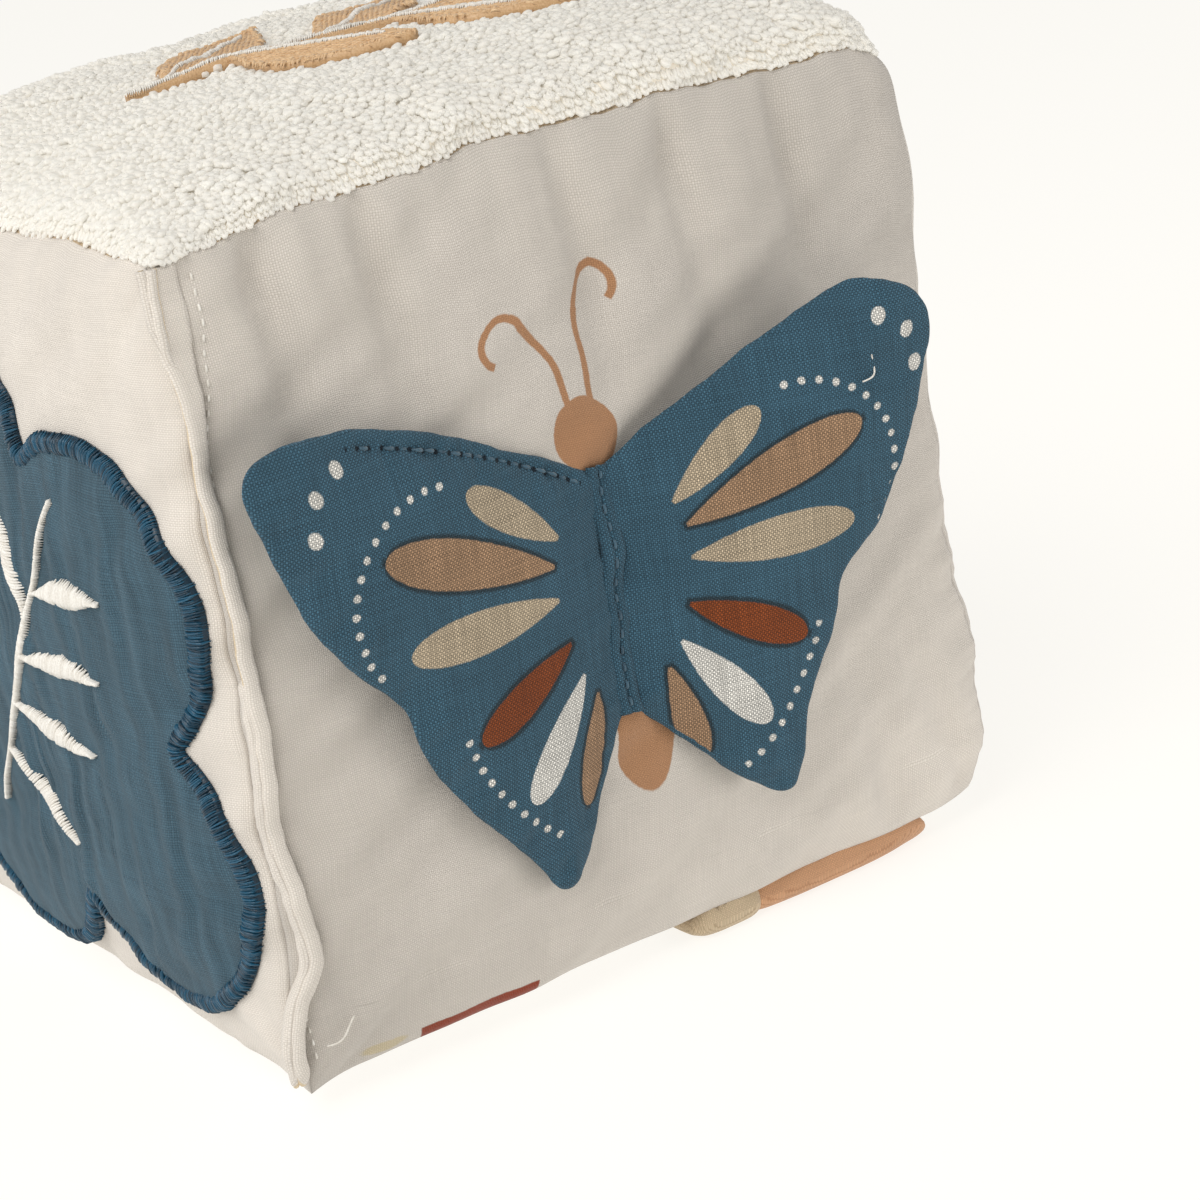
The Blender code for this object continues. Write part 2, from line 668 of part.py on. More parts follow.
def sprig():
    """Add the leaf sprig embroidered on the terry, with a vein on each leaf."""
    centre = Vector(SPRIG_CENTRE_SHARES) * HALF_WIDTH
    turn = Matrix.Rotation(math.radians(SPRIG_TURN), 2)

    def placed(share_x, share_y):
        return centre + turn @ Vector((share_x, share_y)) * SPRIG_LENGTH

    stem_base, stem_tip = (placed(*share) for share in SPRIG_STEM_SHARES)
    outlines = [leaf_outline(stem_base, stem_tip, SPRIG_STEM_WIDTH, STRIP_STEPS * 2)]
    vein_tip = stem_tip.lerp(stem_base, VEIN_END_SHARE)
    veins = [leaf_outline(stem_base, vein_tip, VEIN_WIDTH, STRIP_STEPS * 2)]
    for base_share, tip_share in SPRIG_LEAF_SHARES:
        base, tip = placed(*base_share), placed(*tip_share)
        outlines.append(leaf_outline(base, tip, SPRIG_LEAF_WIDTH))
        veins.append(leaf_outline(base, tip.lerp(base, VEIN_END_SHARE), VEIN_WIDTH))
    low = LAID_ON_CLEARANCE
    laid_on_face("top_sprig_embroidery", TOP, outlines, low, SPRIG_THICKNESS, TAN_THREAD_COLOUR)
    low += SPRIG_THICKNESS + CLEARANCE
    laid_on_face("top_vein_embroidery", TOP, veins, low, VEIN_THICKNESS, WHITE_THREAD_COLOUR)


def pads():
    """Add the two padded cloth ends that stick out from under the front edge."""
    front_y = HALF_DEPTH + PAD_OVERHANG
    beige_x = TAN_PAD_X - (TAN_PAD_LENGTH + BEIGE_PAD_LENGTH) / 2 - PAD_GAP
    pad("bottom_tan_pad", TAN_PAD_X, front_y, TAN_PAD_LENGTH, TAN_PAD_WIDTH, TAN_CLOTH_COLOUR)
    pad("bottom_beige_pad", beige_x, front_y, BEIGE_PAD_LENGTH, BEIGE_PAD_WIDTH, BEIGE_CLOTH_COLOUR)


def pad(name, middle_x, front_y, length, width, colour):
    """Add one padded cloth end between the bottom panel and the plane that the block rests on."""
    outline = oval_outline((middle_x, front_y - width / 2), length, width, 0, PAD_STEPS)
    low = BOTTOM.over(LAID_ON_CLEARANCE)

    def high(x, y):
        puff = min(rim_distance(Vector((x, y)), outline) / PAD_PUFF_RUN, 1)
        swollen = low(x, y) + PAD_THICKNESS * (PAD_HEM_SHARE + (1 - PAD_HEM_SHARE) * puff)
        return max(min(swollen, BOTTOM_CROWN), low(x, y) + COTTON_THICKNESS)

    slab(name, [outline], FINE_MESH_SIZE, high, low, cloth_material(name, colour), BOTTOM.frame)


def butterfly_seam():
    """Add the strip of cloth between the wings and the thread that sews it to the front panel."""
    seam_low = WING_SEAM_BOTTOM_Z - MIDDLE_Z
    heights = [seam_low + WING_SEAM_LENGTH * step / STRIP_STEPS for step in range(STRIP_STEPS + 1)]
    half = SEAM_STRIP_WIDTH / 2
    outline = [Vector((BUTTERFLY_X + half, height)) for height in heights]
    outline += [Vector((BUTTERFLY_X - half, height)) for height in reversed(heights)]
    low = LAID_ON_CLEARANCE
    laid_on_face("butterfly_seam_strip", FRONT, [outline], low, SEAM_STRIP_THICKNESS, WING_COLOUR)
    strip_top = LAID_ON_CLEARANCE + SEAM_STRIP_THICKNESS
    line = [Vector((BUTTERFLY_X, height)) for height in heights]
    thread("butterfly_seam_thread", line, FRONT.over(strip_top + CLEARANCE), TEAL_COLOUR, FRONT.frame)


def wing_outline(side, shares):
    """Return a wing's outline from the middle of its seam; side is 1 to the right and -1 to the left."""
    half_seam = WING_SEAM_LENGTH / 2
    free_edge = [Vector((side * share_x * WING_SPAN, share_y * WING_HEIGHT)) for share_x, share_y in shares]
    outline = curve_through([(0, half_seam), *free_edge, (0, -half_seam)], CURVE_STEPS)
    outline += [Vector((0, half_seam * (2 * step / STRIP_STEPS - 1))) for step in range(1, STRIP_STEPS)]
    return outline if side < 0 else list(reversed(outline))


def wing(name, side, rest_angle, shares):
    """Add a padded wing on an empty whose Z axis is the hinge line; return its front surface."""
    hem_height = CLEARANCE / 2 + WING_CLOTH_THICKNESS
    hinge_gap = hem_height + CLEARANCE
    hinge = bpy.data.objects.new(f"{name}_hinge", None)
    bpy.context.scene.collection.objects.link(hinge)
    hinge.location = (
        BUTTERFLY_X + side * (SEAM_STRIP_WIDTH / 2 + hinge_gap),
        -(HALF_DEPTH + FRONT_CROWN + hinge_gap),
        WING_SEAM_BOTTOM_Z + WING_SEAM_LENGTH / 2,
    )
    hinge.rotation_euler.z = math.radians(-side * rest_angle)
    upright = Matrix.Rotation(math.radians(90), 4, "X")
    outline = wing_outline(side, shares)

    def puff(x, y):
        return math.sin(math.pi / 2 * min(rim_distance(Vector((x, y)), outline) / WING_PUFF_RUN, 1))

    def front(x, y):
        return hem_height + WING_FRONT_RISE * puff(x, y)

    def back(x, y):
        return -hem_height - WING_BACK_RISE * puff(x, y)

    def layer(piece, outlines, top, bottom, colour):
        material = cloth_material(f"{name}_{piece}", colour)
        slab(material.name, outlines, WING_MESH_SIZE, top, bottom, material, upright, hinge)

    inside = WING_CLOTH_THICKNESS + LAID_ON_CLEARANCE
    hem = hemmed(outline, WING_HEM)
    cloth = [outline, hem]
    layer("front_cloth", cloth, front, lambda x, y: front(x, y) - WING_CLOTH_THICKNESS, WING_COLOUR)
    layer("back_cloth", cloth, lambda x, y: back(x, y) + WING_CLOTH_THICKNESS, back, WING_COLOUR)
    layer("wadding", [hem], lambda x, y: front(x, y) - inside,
          lambda x, y: back(x, y) + inside, FILLING_COLOUR)
    if side < 0:
        line = drawn_in(outline, TOPSTITCH_INSET)[1:TOPSTITCH_POINTS]
        thread(f"{name}_thread", line, lambda x, y: front(x, y) + CLEARANCE, TEAL_COLOUR, upright, hinge)


def main():
    """Build the whole block."""
    for leftover in list(bpy.data.objects):
        bpy.data.objects.remove(leftover)
    filling()
    panels()
    corner_fold()
    flower()
    sprig()
    pads()
    butterfly_seam()
    wing("left_wing", -1, LEFT_WING_REST_ANGLE, LEFT_WING_SHARES)
    wing("right_wing", 1, RIGHT_WING_REST_ANGLE, RIGHT_WING_SHARES)


main()
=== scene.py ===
"""Looks of a soft fabric activity block: cover cloth, terry pile, embroidery and padded wings.

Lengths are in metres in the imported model's frame: +X runs to the right along the face with the
butterfly, +Y to the back and +Z up.
"""

import logging
import math
from dataclasses import dataclass, replace
from enum import Enum
from typing import Iterable, Sequence

import bmesh
import bpy
import numpy as np
from mathutils import Matrix, Vector
from mathutils.geometry import delaunay_2d_cdt


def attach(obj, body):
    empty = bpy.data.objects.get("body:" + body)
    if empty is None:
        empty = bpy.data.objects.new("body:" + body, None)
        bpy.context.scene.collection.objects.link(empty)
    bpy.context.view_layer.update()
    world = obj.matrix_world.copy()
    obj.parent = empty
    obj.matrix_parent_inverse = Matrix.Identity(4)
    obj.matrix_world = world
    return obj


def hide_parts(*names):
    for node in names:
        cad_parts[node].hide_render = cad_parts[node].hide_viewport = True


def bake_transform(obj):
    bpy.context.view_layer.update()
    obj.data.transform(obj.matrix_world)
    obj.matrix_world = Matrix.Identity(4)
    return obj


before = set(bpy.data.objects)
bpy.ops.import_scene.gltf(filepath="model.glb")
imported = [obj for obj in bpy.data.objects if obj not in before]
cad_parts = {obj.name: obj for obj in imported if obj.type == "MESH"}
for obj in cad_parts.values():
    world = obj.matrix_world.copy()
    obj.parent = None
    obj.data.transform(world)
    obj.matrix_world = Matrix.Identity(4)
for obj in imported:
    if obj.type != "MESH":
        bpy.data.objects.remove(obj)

Array = np.ndarray
Socket = bpy.types.NodeSocket
Colour = tuple[int, int, int]
Place = tuple[float, float]

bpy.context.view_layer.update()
# Lowest height that the cover's cloth may reach, in metres
FLOOR = 0.0002
LOG = logging.getLogger("soft_block")


class Slot(Enum):
    """Names of the pieces' finishes, which settle takes but does not use."""

    STUFFING = "stuffing"
    TERRY = "terry"
    COTTON = "cotton"
    SLATE_COTTON = "slate_cotton"
    WING_COTTON = "wing_cotton"
    TEAL_THREAD = "teal_thread"
    WHITE_THREAD = "white_thread"
    TAN_THREAD = "tan_thread"
    TAN_COTTON = "tan_cotton"
    BEIGE_COTTON = "beige_cotton"


class Hold(Enum):
    """Ways in which a sheet of cloth is held."""

    STRETCHED = "stretched"
    FOLDED = "folded"


class YarnShape(Enum):
    """Unit shapes that the thread work sets on its points."""

    STITCH = "stitch"
    LOOP = "loop"


def linear(colour: Colour) -> tuple[float, float, float, float]:
    """Turn a colour of 0 to 255 as a screen shows it into linear values."""
    shares = [level / 255 for level in colour]
    return (*(s / 12.92 if s <= 0.04045 else ((s + 0.055) / 1.055) ** 2.4 for s in shares), 1.0)


def unit(vectors: Array) -> Array:
    """Return vectors with their length brought to 1."""
    return vectors / np.maximum(np.linalg.norm(vectors, axis=-1, keepdims=True), 1e-12)


def smooth_waves(place: Array, wavelength: float, seed: int, octaves: int = 3) -> Array:
    """Return a smooth uneven wave of about -1 to 1 along a line.

    Args:
        place: Distances along the line.
        wavelength: Longest wave.
        seed: Choice of the wave.
        octaves: How many waves are added, each half as long as the one before.

    Returns:
        The wave's value at each place.
    """
    rng = np.random.default_rng(seed)
    total = np.zeros_like(place, dtype=float)
    for octave in range(octaves):
        stretch = rng.uniform(0.8, 1.25)
        phase = rng.uniform(0, math.tau)
        total += np.sin(place * math.tau * 2**octave / wavelength * stretch + phase) / 1.6**octave
    return total / 1.6


class Graph:
    """Builds a node tree by short calls that return sockets."""

    def __init__(self, tree: bpy.types.NodeTree) -> None:
        """Start on a tree."""
        self.tree = tree

    def node(self, kind: str, inputs: dict | None = None, **settings: object) -> bpy.types.Node:
        """Add a node.

        Args:
            kind: The node's type name.
            inputs: Values or sockets by input name or number.
            settings: The node's own options.

        Returns:
            The new node.
        """
        made = self.tree.nodes.new(kind)
        for name, value in settings.items():
            setattr(made, name, value)
        for key, value in (inputs or {}).items():
            self.feed(made.inputs[key], value)
        return made

    def feed(self, socket: Socket, value: object) -> None:
        """Link a socket to an input, or set the input to a value."""
        if isinstance(value, bpy.types.NodeSocket):
            self.tree.links.new(value, socket)
        else:
            socket.default_value = value

    def math(self, operation: str, *values: object) -> Socket:
        """Return the result of a math operation on one to three values."""
        return self.node("ShaderNodeMath", dict(enumerate(values)), operation=operation).outputs[0]

    def plus(self, first: object, second: object) -> Socket:
        """Return the sum of two values."""
        return self.math("ADD", first, second)

    def minus(self, first: object, second: object) -> Socket:
        """Return the first value less the second."""
        return self.math("SUBTRACT", first, second)

    def times(self, first: object, second: object) -> Socket:
        """Return the product of two values."""
        return self.math("MULTIPLY", first, second)

    def vector(self, operation: str, *values: object) -> Socket:
        """Return the result of a vector operation."""
        return self.node("ShaderNodeVectorMath", dict(enumerate(values)), operation=operation).outputs[0]

    def combine(self, x: object, y: object, z: object = 0.0) -> Socket:
        """Return a vector from three values."""
        return self.node("ShaderNodeCombineXYZ", {0: x, 1: y, 2: z}).outputs[0]

    def split(self, vector: Socket) -> tuple[Socket, Socket, Socket]:
        """Return the three values of a vector."""
        return tuple(self.node("ShaderNodeSeparateXYZ", {0: vector}).outputs)

    def ramp(self, value: object, low: float, high: float, to_low: float = 0.0, to_high: float = 1.0) -> Socket:
        """Return a value moved from one range to another, and kept inside it."""
        inputs = {0: value, 1: low, 2: high, 3: to_low, 4: to_high}
        return self.node("ShaderNodeMapRange", inputs, clamp=True).outputs[0]

    def mix(self, share: object, first: object, second: object) -> Socket:
        """Return a colour between two colours."""
        made = self.node("ShaderNodeMix", {0: share, 6: first, 7: second}, data_type="RGBA")
        return made.outputs[2]

    def scaled(self, colour: object, share: object) -> Socket:
        """Return a colour made darker or lighter by a share."""
        return self.vector("MULTIPLY", colour, self.combine(share, share, share))

    def noise(self, vector: Socket, scale: float, detail: float = 2.0, roughness: float = 0.5) -> Socket:
        """Return uneven values of about 0 to 1, with a scale in waves for each metre."""
        inputs = {"Vector": vector, "Scale": scale, "Detail": detail, "Roughness": roughness}
        return self.node("ShaderNodeTexNoise", inputs).outputs[0]


@dataclass(frozen=True)
class Oval:
    """A printed oval."""

    centre: Place
    radii: Place
    turn: float = 0.0

    def depth(self, graph: Graph, u: Socket, v: Socket) -> Socket:
        """Return how far inside the oval a place lies, in metres."""
        along, aside = turned(graph, u, v, self.centre, self.turn)
        x = graph.math("DIVIDE", along, self.radii[0])
        y = graph.math("DIVIDE", aside, self.radii[1])
        away = graph.math("SQRT", graph.plus(graph.times(x, x), graph.times(y, y)))
        return graph.times(graph.minus(1.0, away), min(self.radii))


@dataclass(frozen=True)
class Drop:
    """A printed drop that swells from a pointed start to a round end."""

    point: Place
    turn: float
    length: float
    width: float
    FULLNESS = 2.49
    RIM = -0.0006

    def depth(self, graph: Graph, u: Socket, v: Socket) -> Socket:
        """Return how far inside the drop a place lies, in metres."""
        along, aside = turned(graph, u, v, self.point, self.turn)
        share = graph.math("MAXIMUM", graph.math("DIVIDE", along, self.length), 0.0)
        left = graph.math("MAXIMUM", graph.minus(1.0, share), 0.0)
        profile = graph.times(graph.math("POWER", share, 0.9), graph.math("SQRT", left))
        half = graph.times(profile, self.width / 2 * self.FULLNESS)
        inside = graph.minus(half, graph.math("ABSOLUTE", aside))
        ends = graph.math("MINIMUM", graph.plus(along, self.RIM), graph.minus(self.length, along))
        return graph.math("MINIMUM", inside, ends)


@dataclass(frozen=True)
class Arc:
    """A printed line along part of a circle, plain or as a row of dots."""

    centre: Place
    radius: float
    middle: float
    sweep: float
    width: float
    dot_pitch: float = 0.0

    @classmethod
    def through(cls, first: Place, middle: Place, last: Place, width: float, dot_pitch: float = 0.0) -> "Arc":
        """Return the line that runs through three places."""
        a, b, c = (complex(*place) for place in (first, middle, last))
        share = (c - a) / (b - a)
        centre = a + (b - a) * (share - abs(share) ** 2) / (share - share.conjugate())
        radius = abs(a - centre)
        half = (c - centre) / (a - centre)
        turn = math.degrees(math.atan2(half.imag, half.real))
        to_middle = math.degrees(math.atan2(((b - centre) / (a - centre)).imag, ((b - centre) / (a - centre)).real))
        if turn * to_middle < 0:
            turn -= math.copysign(360, turn)
        start = math.degrees(math.atan2((a - centre).imag, (a - centre).real))
        return cls((centre.real, centre.imag), radius, start + turn / 2, abs(turn) + math.degrees(width / 3 / radius),
                   width, dot_pitch)

    def depth(self, graph: Graph, u: Socket, v: Socket) -> Socket:
        """Return how far inside the line or its nearest dot a place lies, in metres."""
        along, aside = turned(graph, u, v, self.centre, self.middle)
        away = graph.math("SQRT", graph.math("ADD", graph.math("MULTIPLY", along, along),
                                             graph.math("MULTIPLY", aside, aside)))
        across = graph.minus(away, self.radius)
        run = graph.times(graph.math("ARCTAN2", aside, along), self.radius)
        half_run = self.radius * math.radians(self.sweep) / 2
        ends = graph.minus(half_run, graph.math("ABSOLUTE", run))
        if self.dot_pitch:
            step = graph.minus(graph.math("FRACT", graph.math("DIVIDE", run, self.dot_pitch)), 0.5)
            step = graph.times(step, self.dot_pitch)
            across = graph.math("SQRT", graph.math("ADD", graph.math("MULTIPLY", step, step),
                                                   graph.math("MULTIPLY", across, across)))
        inside = graph.minus(self.width / 2, graph.math("ABSOLUTE", across))
        return graph.math("MINIMUM", inside, ends)


Shape = Oval | Drop | Arc


def turned(graph: Graph, u: Socket, v: Socket, centre: Place, turn: float) -> tuple[Socket, Socket]:
    """Return places along and across an axis.

    Args:
        graph: The tree that gets the nodes.
        u: Places across the cloth.
        v: Places up the cloth.
        centre: Where the axis starts.
        turn: The axis's angle from across, in degrees.

    Returns:
        The places along the axis and to its left.
    """
    x = graph.minus(u, centre[0])
    y = graph.minus(v, centre[1])
    cosine, sine = math.cos(math.radians(turn)), math.sin(math.radians(turn))
    along = graph.plus(graph.times(x, cosine), graph.times(y, sine))
    aside = graph.minus(graph.times(y, cosine), graph.times(x, sine))
    return along, aside


@dataclass(frozen=True)
class Ink:
    """One printed shape, its colour, and the dark line round it."""

    shape: Shape
    colour: Colour
    rim_colour: Colour = (30, 38, 42)
    rim: float = 0.0


@dataclass(frozen=True)
class WovenCloth:
    """Plain woven cloth, with prints where it has them. Its UV map is in metres."""

    colour: Colour
    gap_colour: Colour
    pitch: float = 0.00042
    unevenness: float = 0.10
    mottling: float = 0.05
    relief: float = 0.00007
    sheen: float = 0.25
    streaks: float = 0.0
    dots: float = 0.05
    # fade: painted light and shade, a slope of the colour across the cloth given as a level and shares per metre
    # rightward, upward and for both together
    fade: tuple[float, ...] = ()
    print_blur: float = 0.00022
    print_bleed: float = 0.00012

    def material(self, name: str, inks: Sequence[Ink] = ()) -> bpy.types.Material:
        """Return a new material.

        Args:
            name: The material's name.
            inks: Prints, the lowest first.

        Returns:
            The material, whose weave follows the UV map.
        """
        made = bpy.data.materials.new(name)
        made.use_nodes = True
        graph = Graph(made.node_tree)
        shader = made.node_tree.nodes["Principled BSDF"]
        plane = graph.node("ShaderNodeUVMap", uv_map="weave").outputs[0]
        u, v, _ = graph.split(plane)
        wobble = graph.times(graph.minus(graph.noise(plane, 260), 0.5), self.pitch * 1.2)
        warp = graph.times(graph.plus(u, wobble), math.pi / self.pitch)
        weft = graph.times(graph.plus(v, wobble), math.pi / self.pitch)
        warp_wave, weft_wave = graph.math("SINE", warp), graph.math("SINE", weft)
        over = graph.ramp(graph.times(warp_wave, weft_wave), -0.25, 0.25)
        warp_body = graph.math("POWER", graph.math("ABSOLUTE", warp_wave), 0.7)
        weft_body = graph.math("POWER", graph.math("ABSOLUTE", weft_wave), 0.7)
        crossing = graph.plus(0.55, graph.times(graph.times(warp_body, weft_body), 0.45))
        picked = graph.math("ADD", graph.math("MULTIPLY", over, warp_body),
                            graph.math("MULTIPLY", graph.math("SUBTRACT", 1.0, over), weft_body))
        body = graph.times(picked, crossing)
        threads = 1 / self.pitch
        warp_tone = graph.noise(graph.combine(graph.times(u, threads), graph.times(v, 90)), 1, 2)
        weft_tone = graph.noise(graph.combine(graph.times(u, 90), graph.times(v, threads)), 1, 2)
        tone = graph.math("ADD", graph.math("MULTIPLY", over, warp_tone),
                          graph.math("MULTIPLY", graph.math("SUBTRACT", 1.0, over), weft_tone))
        low, high = 1 - self.unevenness, 1 + self.unevenness
        shade = graph.ramp(tone, 0.3, 0.7, low, high)
        cloud = graph.ramp(graph.noise(plane, 70, 4, 0.6), 0.3, 0.7, 1 - self.mottling, 1 + self.mottling)
        colour = graph.mix(0.0, linear(self.colour), linear(self.colour))
        for ink in inks:
            colour = self.printed(graph, ink, plane, u, v, colour)
        gaps = graph.ramp(body, 0.1, 0.65, 1.0, 0.0)
        dark = graph.vector("MULTIPLY", colour, ratio(self.gap_colour, self.colour))
        colour = graph.mix(gaps, colour, dark)
        crowns = graph.ramp(graph.times(warp_wave, weft_wave), -0.6, 0.6, 1 - self.dots, 1 + self.dots)
        colour = graph.scaled(colour, graph.times(graph.times(shade, cloud), crowns))
        if self.streaks:
            streak = graph.noise(graph.combine(graph.times(u, 420.0), graph.times(v, 45.0)), 1, 4)
            colour = graph.scaled(colour, graph.ramp(streak, 0.3, 0.7, 1 - self.streaks, 1 + self.streaks))
        # Painted light and shade: the colour is scaled by a slope across the cloth.
        if self.fade:
            even, rightward, upward, both = self.fade
            tone = graph.plus(even, graph.times(u, rightward))
            tone = graph.plus(tone, graph.times(v, upward))
            tone = graph.plus(tone, graph.times(graph.times(u, v), both))
            colour = graph.scaled(colour, tone)
        graph.feed(shader.inputs["Base Color"], colour)
        shader.inputs["Roughness"].default_value = 0.88
        shader.inputs["Sheen Weight"].default_value = self.sheen
        shader.inputs["Sheen Roughness"].default_value = 0.45
        shader.inputs["Specular IOR Level"].default_value = 0.25
        fuzz = graph.times(graph.noise(plane, 5200, 3, 0.6), 0.35)
        bump = graph.node("ShaderNodeBump", {"Strength": 1.0, "Distance": self.relief,
                                             "Height": graph.math("ADD", body, fuzz)})
        graph.feed(shader.inputs["Normal"], bump.outputs[0])
        return made

    def printed(self, graph: Graph, ink: Ink, plane: Socket, u: Socket, v: Socket, under: Socket) -> Socket:
        """Return the cloth's colour with one more print laid on it."""
        bleed = graph.minus(graph.noise(plane, 1300, 2), 0.5)
        depth = graph.plus(ink.shape.depth(graph, u, v), graph.times(bleed, self.print_bleed * 2))
        half = self.print_blur / 2
        if ink.rim:
            around = graph.times(graph.ramp(depth, -ink.rim - half * 2, -ink.rim + half * 2), 0.85)
            under = graph.mix(around, under, linear(ink.rim_colour))
        return graph.mix(graph.ramp(depth, -half, half), under, linear(ink.colour))


def ratio(part: Colour, whole: Colour) -> tuple[float, float, float]:
    """Return what share one colour is of another, in linear values."""
    return tuple(a / max(b, 1e-4) for a, b in zip(linear(part)[:3], linear(whole)[:3]))


@dataclass(frozen=True)
class YarnFinish:
    """Thread or pile yarn, whose tone changes from stitch to stitch."""

    colour: Colour
    deep_colour: Colour
    roughness: float = 0.5
    sheen: float = 0.3
    grain: float = 3800.0
    relief: float = 0.00003
    spread: float = 0.5
    lets_through: float = 0.0
    # glow: painted light, an emission that lifts the yarn's shade though the yarn is no lamp
    glow: float = 0.0

    def material(self, name: str) -> bpy.types.Material:
        """Return a new material that reads the tone of each stitch from an attribute."""
        made = bpy.data.materials.new(name)
        made.use_nodes = True
        graph = Graph(made.node_tree)
        shader = made.node_tree.nodes["Principled BSDF"]
        place = graph.node("ShaderNodeTexCoord").outputs["Object"]
        tone = graph.node("ShaderNodeAttribute", attribute_name="tone").outputs["Fac"]
        grain = graph.noise(place, self.grain, 2)
        share = graph.math("ADD", graph.math("MULTIPLY", tone, self.spread),
                           graph.math("MULTIPLY", graph.ramp(grain, 0.35, 0.65), 1 - self.spread))
        colour = graph.mix(share, linear(self.deep_colour), linear(self.colour))
        graph.feed(shader.inputs["Base Color"], colour)
        shader.inputs["Roughness"].default_value = self.roughness
        shader.inputs["Sheen Weight"].default_value = self.sheen
        shader.inputs["Specular IOR Level"].default_value = 0.4
        # Painted light: the yarn glows by the amount of glow, which brightens its shade.
        shader.inputs["Emission Color"].default_value = linear((255, 249, 238))
        shader.inputs["Emission Strength"].default_value = self.glow
        if self.lets_through:
            thin = graph.node("ShaderNodeBsdfTranslucent", {"Color": linear(self.colour)}).outputs[0]
            both = graph.node("ShaderNodeMixShader", {0: self.lets_through, 1: shader.outputs[0], 2: thin}).outputs[0]
            graph.feed(made.node_tree.nodes["Material Output"].inputs["Surface"], both)
        bump = graph.node("ShaderNodeBump", {"Strength": 0.8, "Distance": self.relief, "Height": grain})
        graph.feed(shader.inputs["Normal"], bump.outputs[0])
        return made


COTTON = WovenCloth((224, 217, 208), (190, 180, 168), pitch=0.00029, unevenness=0.05, relief=0.00006, dots=0.055)
# The front's cotton has painted light and shade: darkest at the top right and the bottom left, lightest at the bottom
# right.
FRONT_COTTON = replace(COTTON, fade=(0.865, 0.8, -0.9, -32.0))
FOLD_COTTON = replace(COTTON, pitch=0.00027)
SLATE = WovenCloth((64, 91, 105), (36, 58, 71), pitch=0.00038, unevenness=0.2, mottling=0.10, relief=0.00008,
                   sheen=0.1, streaks=0.22)
WING_BLUE = (62, 96, 114)
WING_CANVAS = WovenCloth(WING_BLUE, (20, 40, 52), pitch=0.00031, unevenness=0.26, mottling=0.10,
                         relief=0.00010, sheen=0.10, streaks=0.04, dots=0.30)
TAN_CLOTH = WovenCloth((208, 160, 122), (168, 122, 88), pitch=0.00030)
BEIGE_CLOTH = WovenCloth((204, 184, 154), (164, 142, 114), pitch=0.00030)
# The terry yarn and its ground glow a little: painted light that lifts the shade among the loops.
TERRY_YARN = YarnFinish((255, 254, 250), (252, 248, 241), roughness=0.9, sheen=0.3, grain=1500.0,
                        lets_through=0.42, glow=0.045)
TERRY_GROUND = YarnFinish((255, 250, 240), (250, 242, 228), roughness=0.95, grain=2200.0, relief=0.00012,
                          glow=0.045)
TEAL_THREAD = YarnFinish((22, 84, 112), (3, 30, 45), roughness=0.36, sheen=0.05, spread=0.8)
BLUE_THREAD = YarnFinish((66, 100, 118), (34, 60, 76), roughness=0.5)
WHITE_THREAD = YarnFinish((244, 241, 235), (214, 208, 197), roughness=0.5)
TAN_THREAD = YarnFinish((230, 198, 156), (194, 154, 110), roughness=0.42)
STUFFING = YarnFinish((238, 237, 233), (220, 218, 212), roughness=1.0)


class Mesher:
    """Makes mesh objects from arrays of points and faces."""

    @staticmethod
    def build(name: str, points: Array, faces: Iterable, material: bpy.types.Material,
              weave: Array | None = None) -> bpy.types.Object:
        """Make one smooth object at the origin.

        Args:
            name: The piece's name.
            points: Places in the frame, one row each.
            faces: Point numbers of each face.
            material: The finish.
            weave: Flat places of the cloth's points in metres, which become its UV map.

        Returns:
            The new object, linked to the scene.
        """
        mesh = bpy.data.meshes.new(name)
        mesh.from_pydata(points.tolist(), [], [list(face) for face in faces])
        if weave is not None:
            layer = mesh.uv_layers.new(name="weave")
            corners = np.empty(len(mesh.loops), dtype=np.int64)
            mesh.loops.foreach_get("vertex_index", corners)
            layer.data.foreach_set("uv", weave[corners].astype(np.float32).ravel())
        mesh.materials.append(material)
        mesh.shade_smooth()
        made = bpy.data.objects.new(name, mesh)
        bpy.context.scene.collection.objects.link(made)
        return made

    @staticmethod
    def grid_faces(rows: int, columns: int, first: int = 0, closed: bool = False) -> Array:
        """Return the faces of a grid of points, joined across its last column if it is closed."""
        index = first + np.arange(rows * columns).reshape(rows, columns)
        if closed:
            index = np.concatenate((index, index[:, :1]), axis=1)
        corners = (index[:-1, :-1], index[:-1, 1:], index[1:, 1:], index[1:, :-1])
        return np.stack(corners, -1).reshape(-1, 4)

    @staticmethod
    def tube(name: str, line: Array, radius: float, material: bpy.types.Material, sides: int = 6) -> bpy.types.Object:
        """Make a closed round tube along a line of points."""
        along = unit(np.gradient(line, axis=0))
        aside = unit(np.cross(along, (0.31, 0.22, 0.93)))
        up = np.cross(aside, along)
        angles = np.arange(sides) * math.tau / sides
        ring = aside[:, None] * np.cos(angles)[None, :, None] + up[:, None] * np.sin(angles)[None, :, None]
        points = (line[:, None] + ring * radius).reshape(-1, 3)
        faces = Mesher.grid_faces(len(line), sides, closed=True).tolist()
        faces += [list(range(sides)), list(range(len(points) - 1, len(points) - sides - 1, -1))]
        return Mesher.build(name, points, faces, material)

    @staticmethod
    def thicken(piece: bpy.types.Object, thickness: float, offset: float = -1.0) -> None:
        """Give a sheet its thickness and a closed rim."""
        solid = piece.modifiers.new("Thickness", "SOLIDIFY")
        solid.thickness = thickness
        solid.offset = offset
        solid.use_even_offset = False
        solid.use_rim = True


    @staticmethod
    def bake(piece: bpy.types.Object) -> None:
        """Turn a piece and its modifiers into one plain mesh."""
        graph = bpy.context.evaluated_depsgraph_get()
        mesh = bpy.data.meshes.new_from_object(piece.evaluated_get(graph))
        piece.modifiers.clear()
        piece.data = mesh


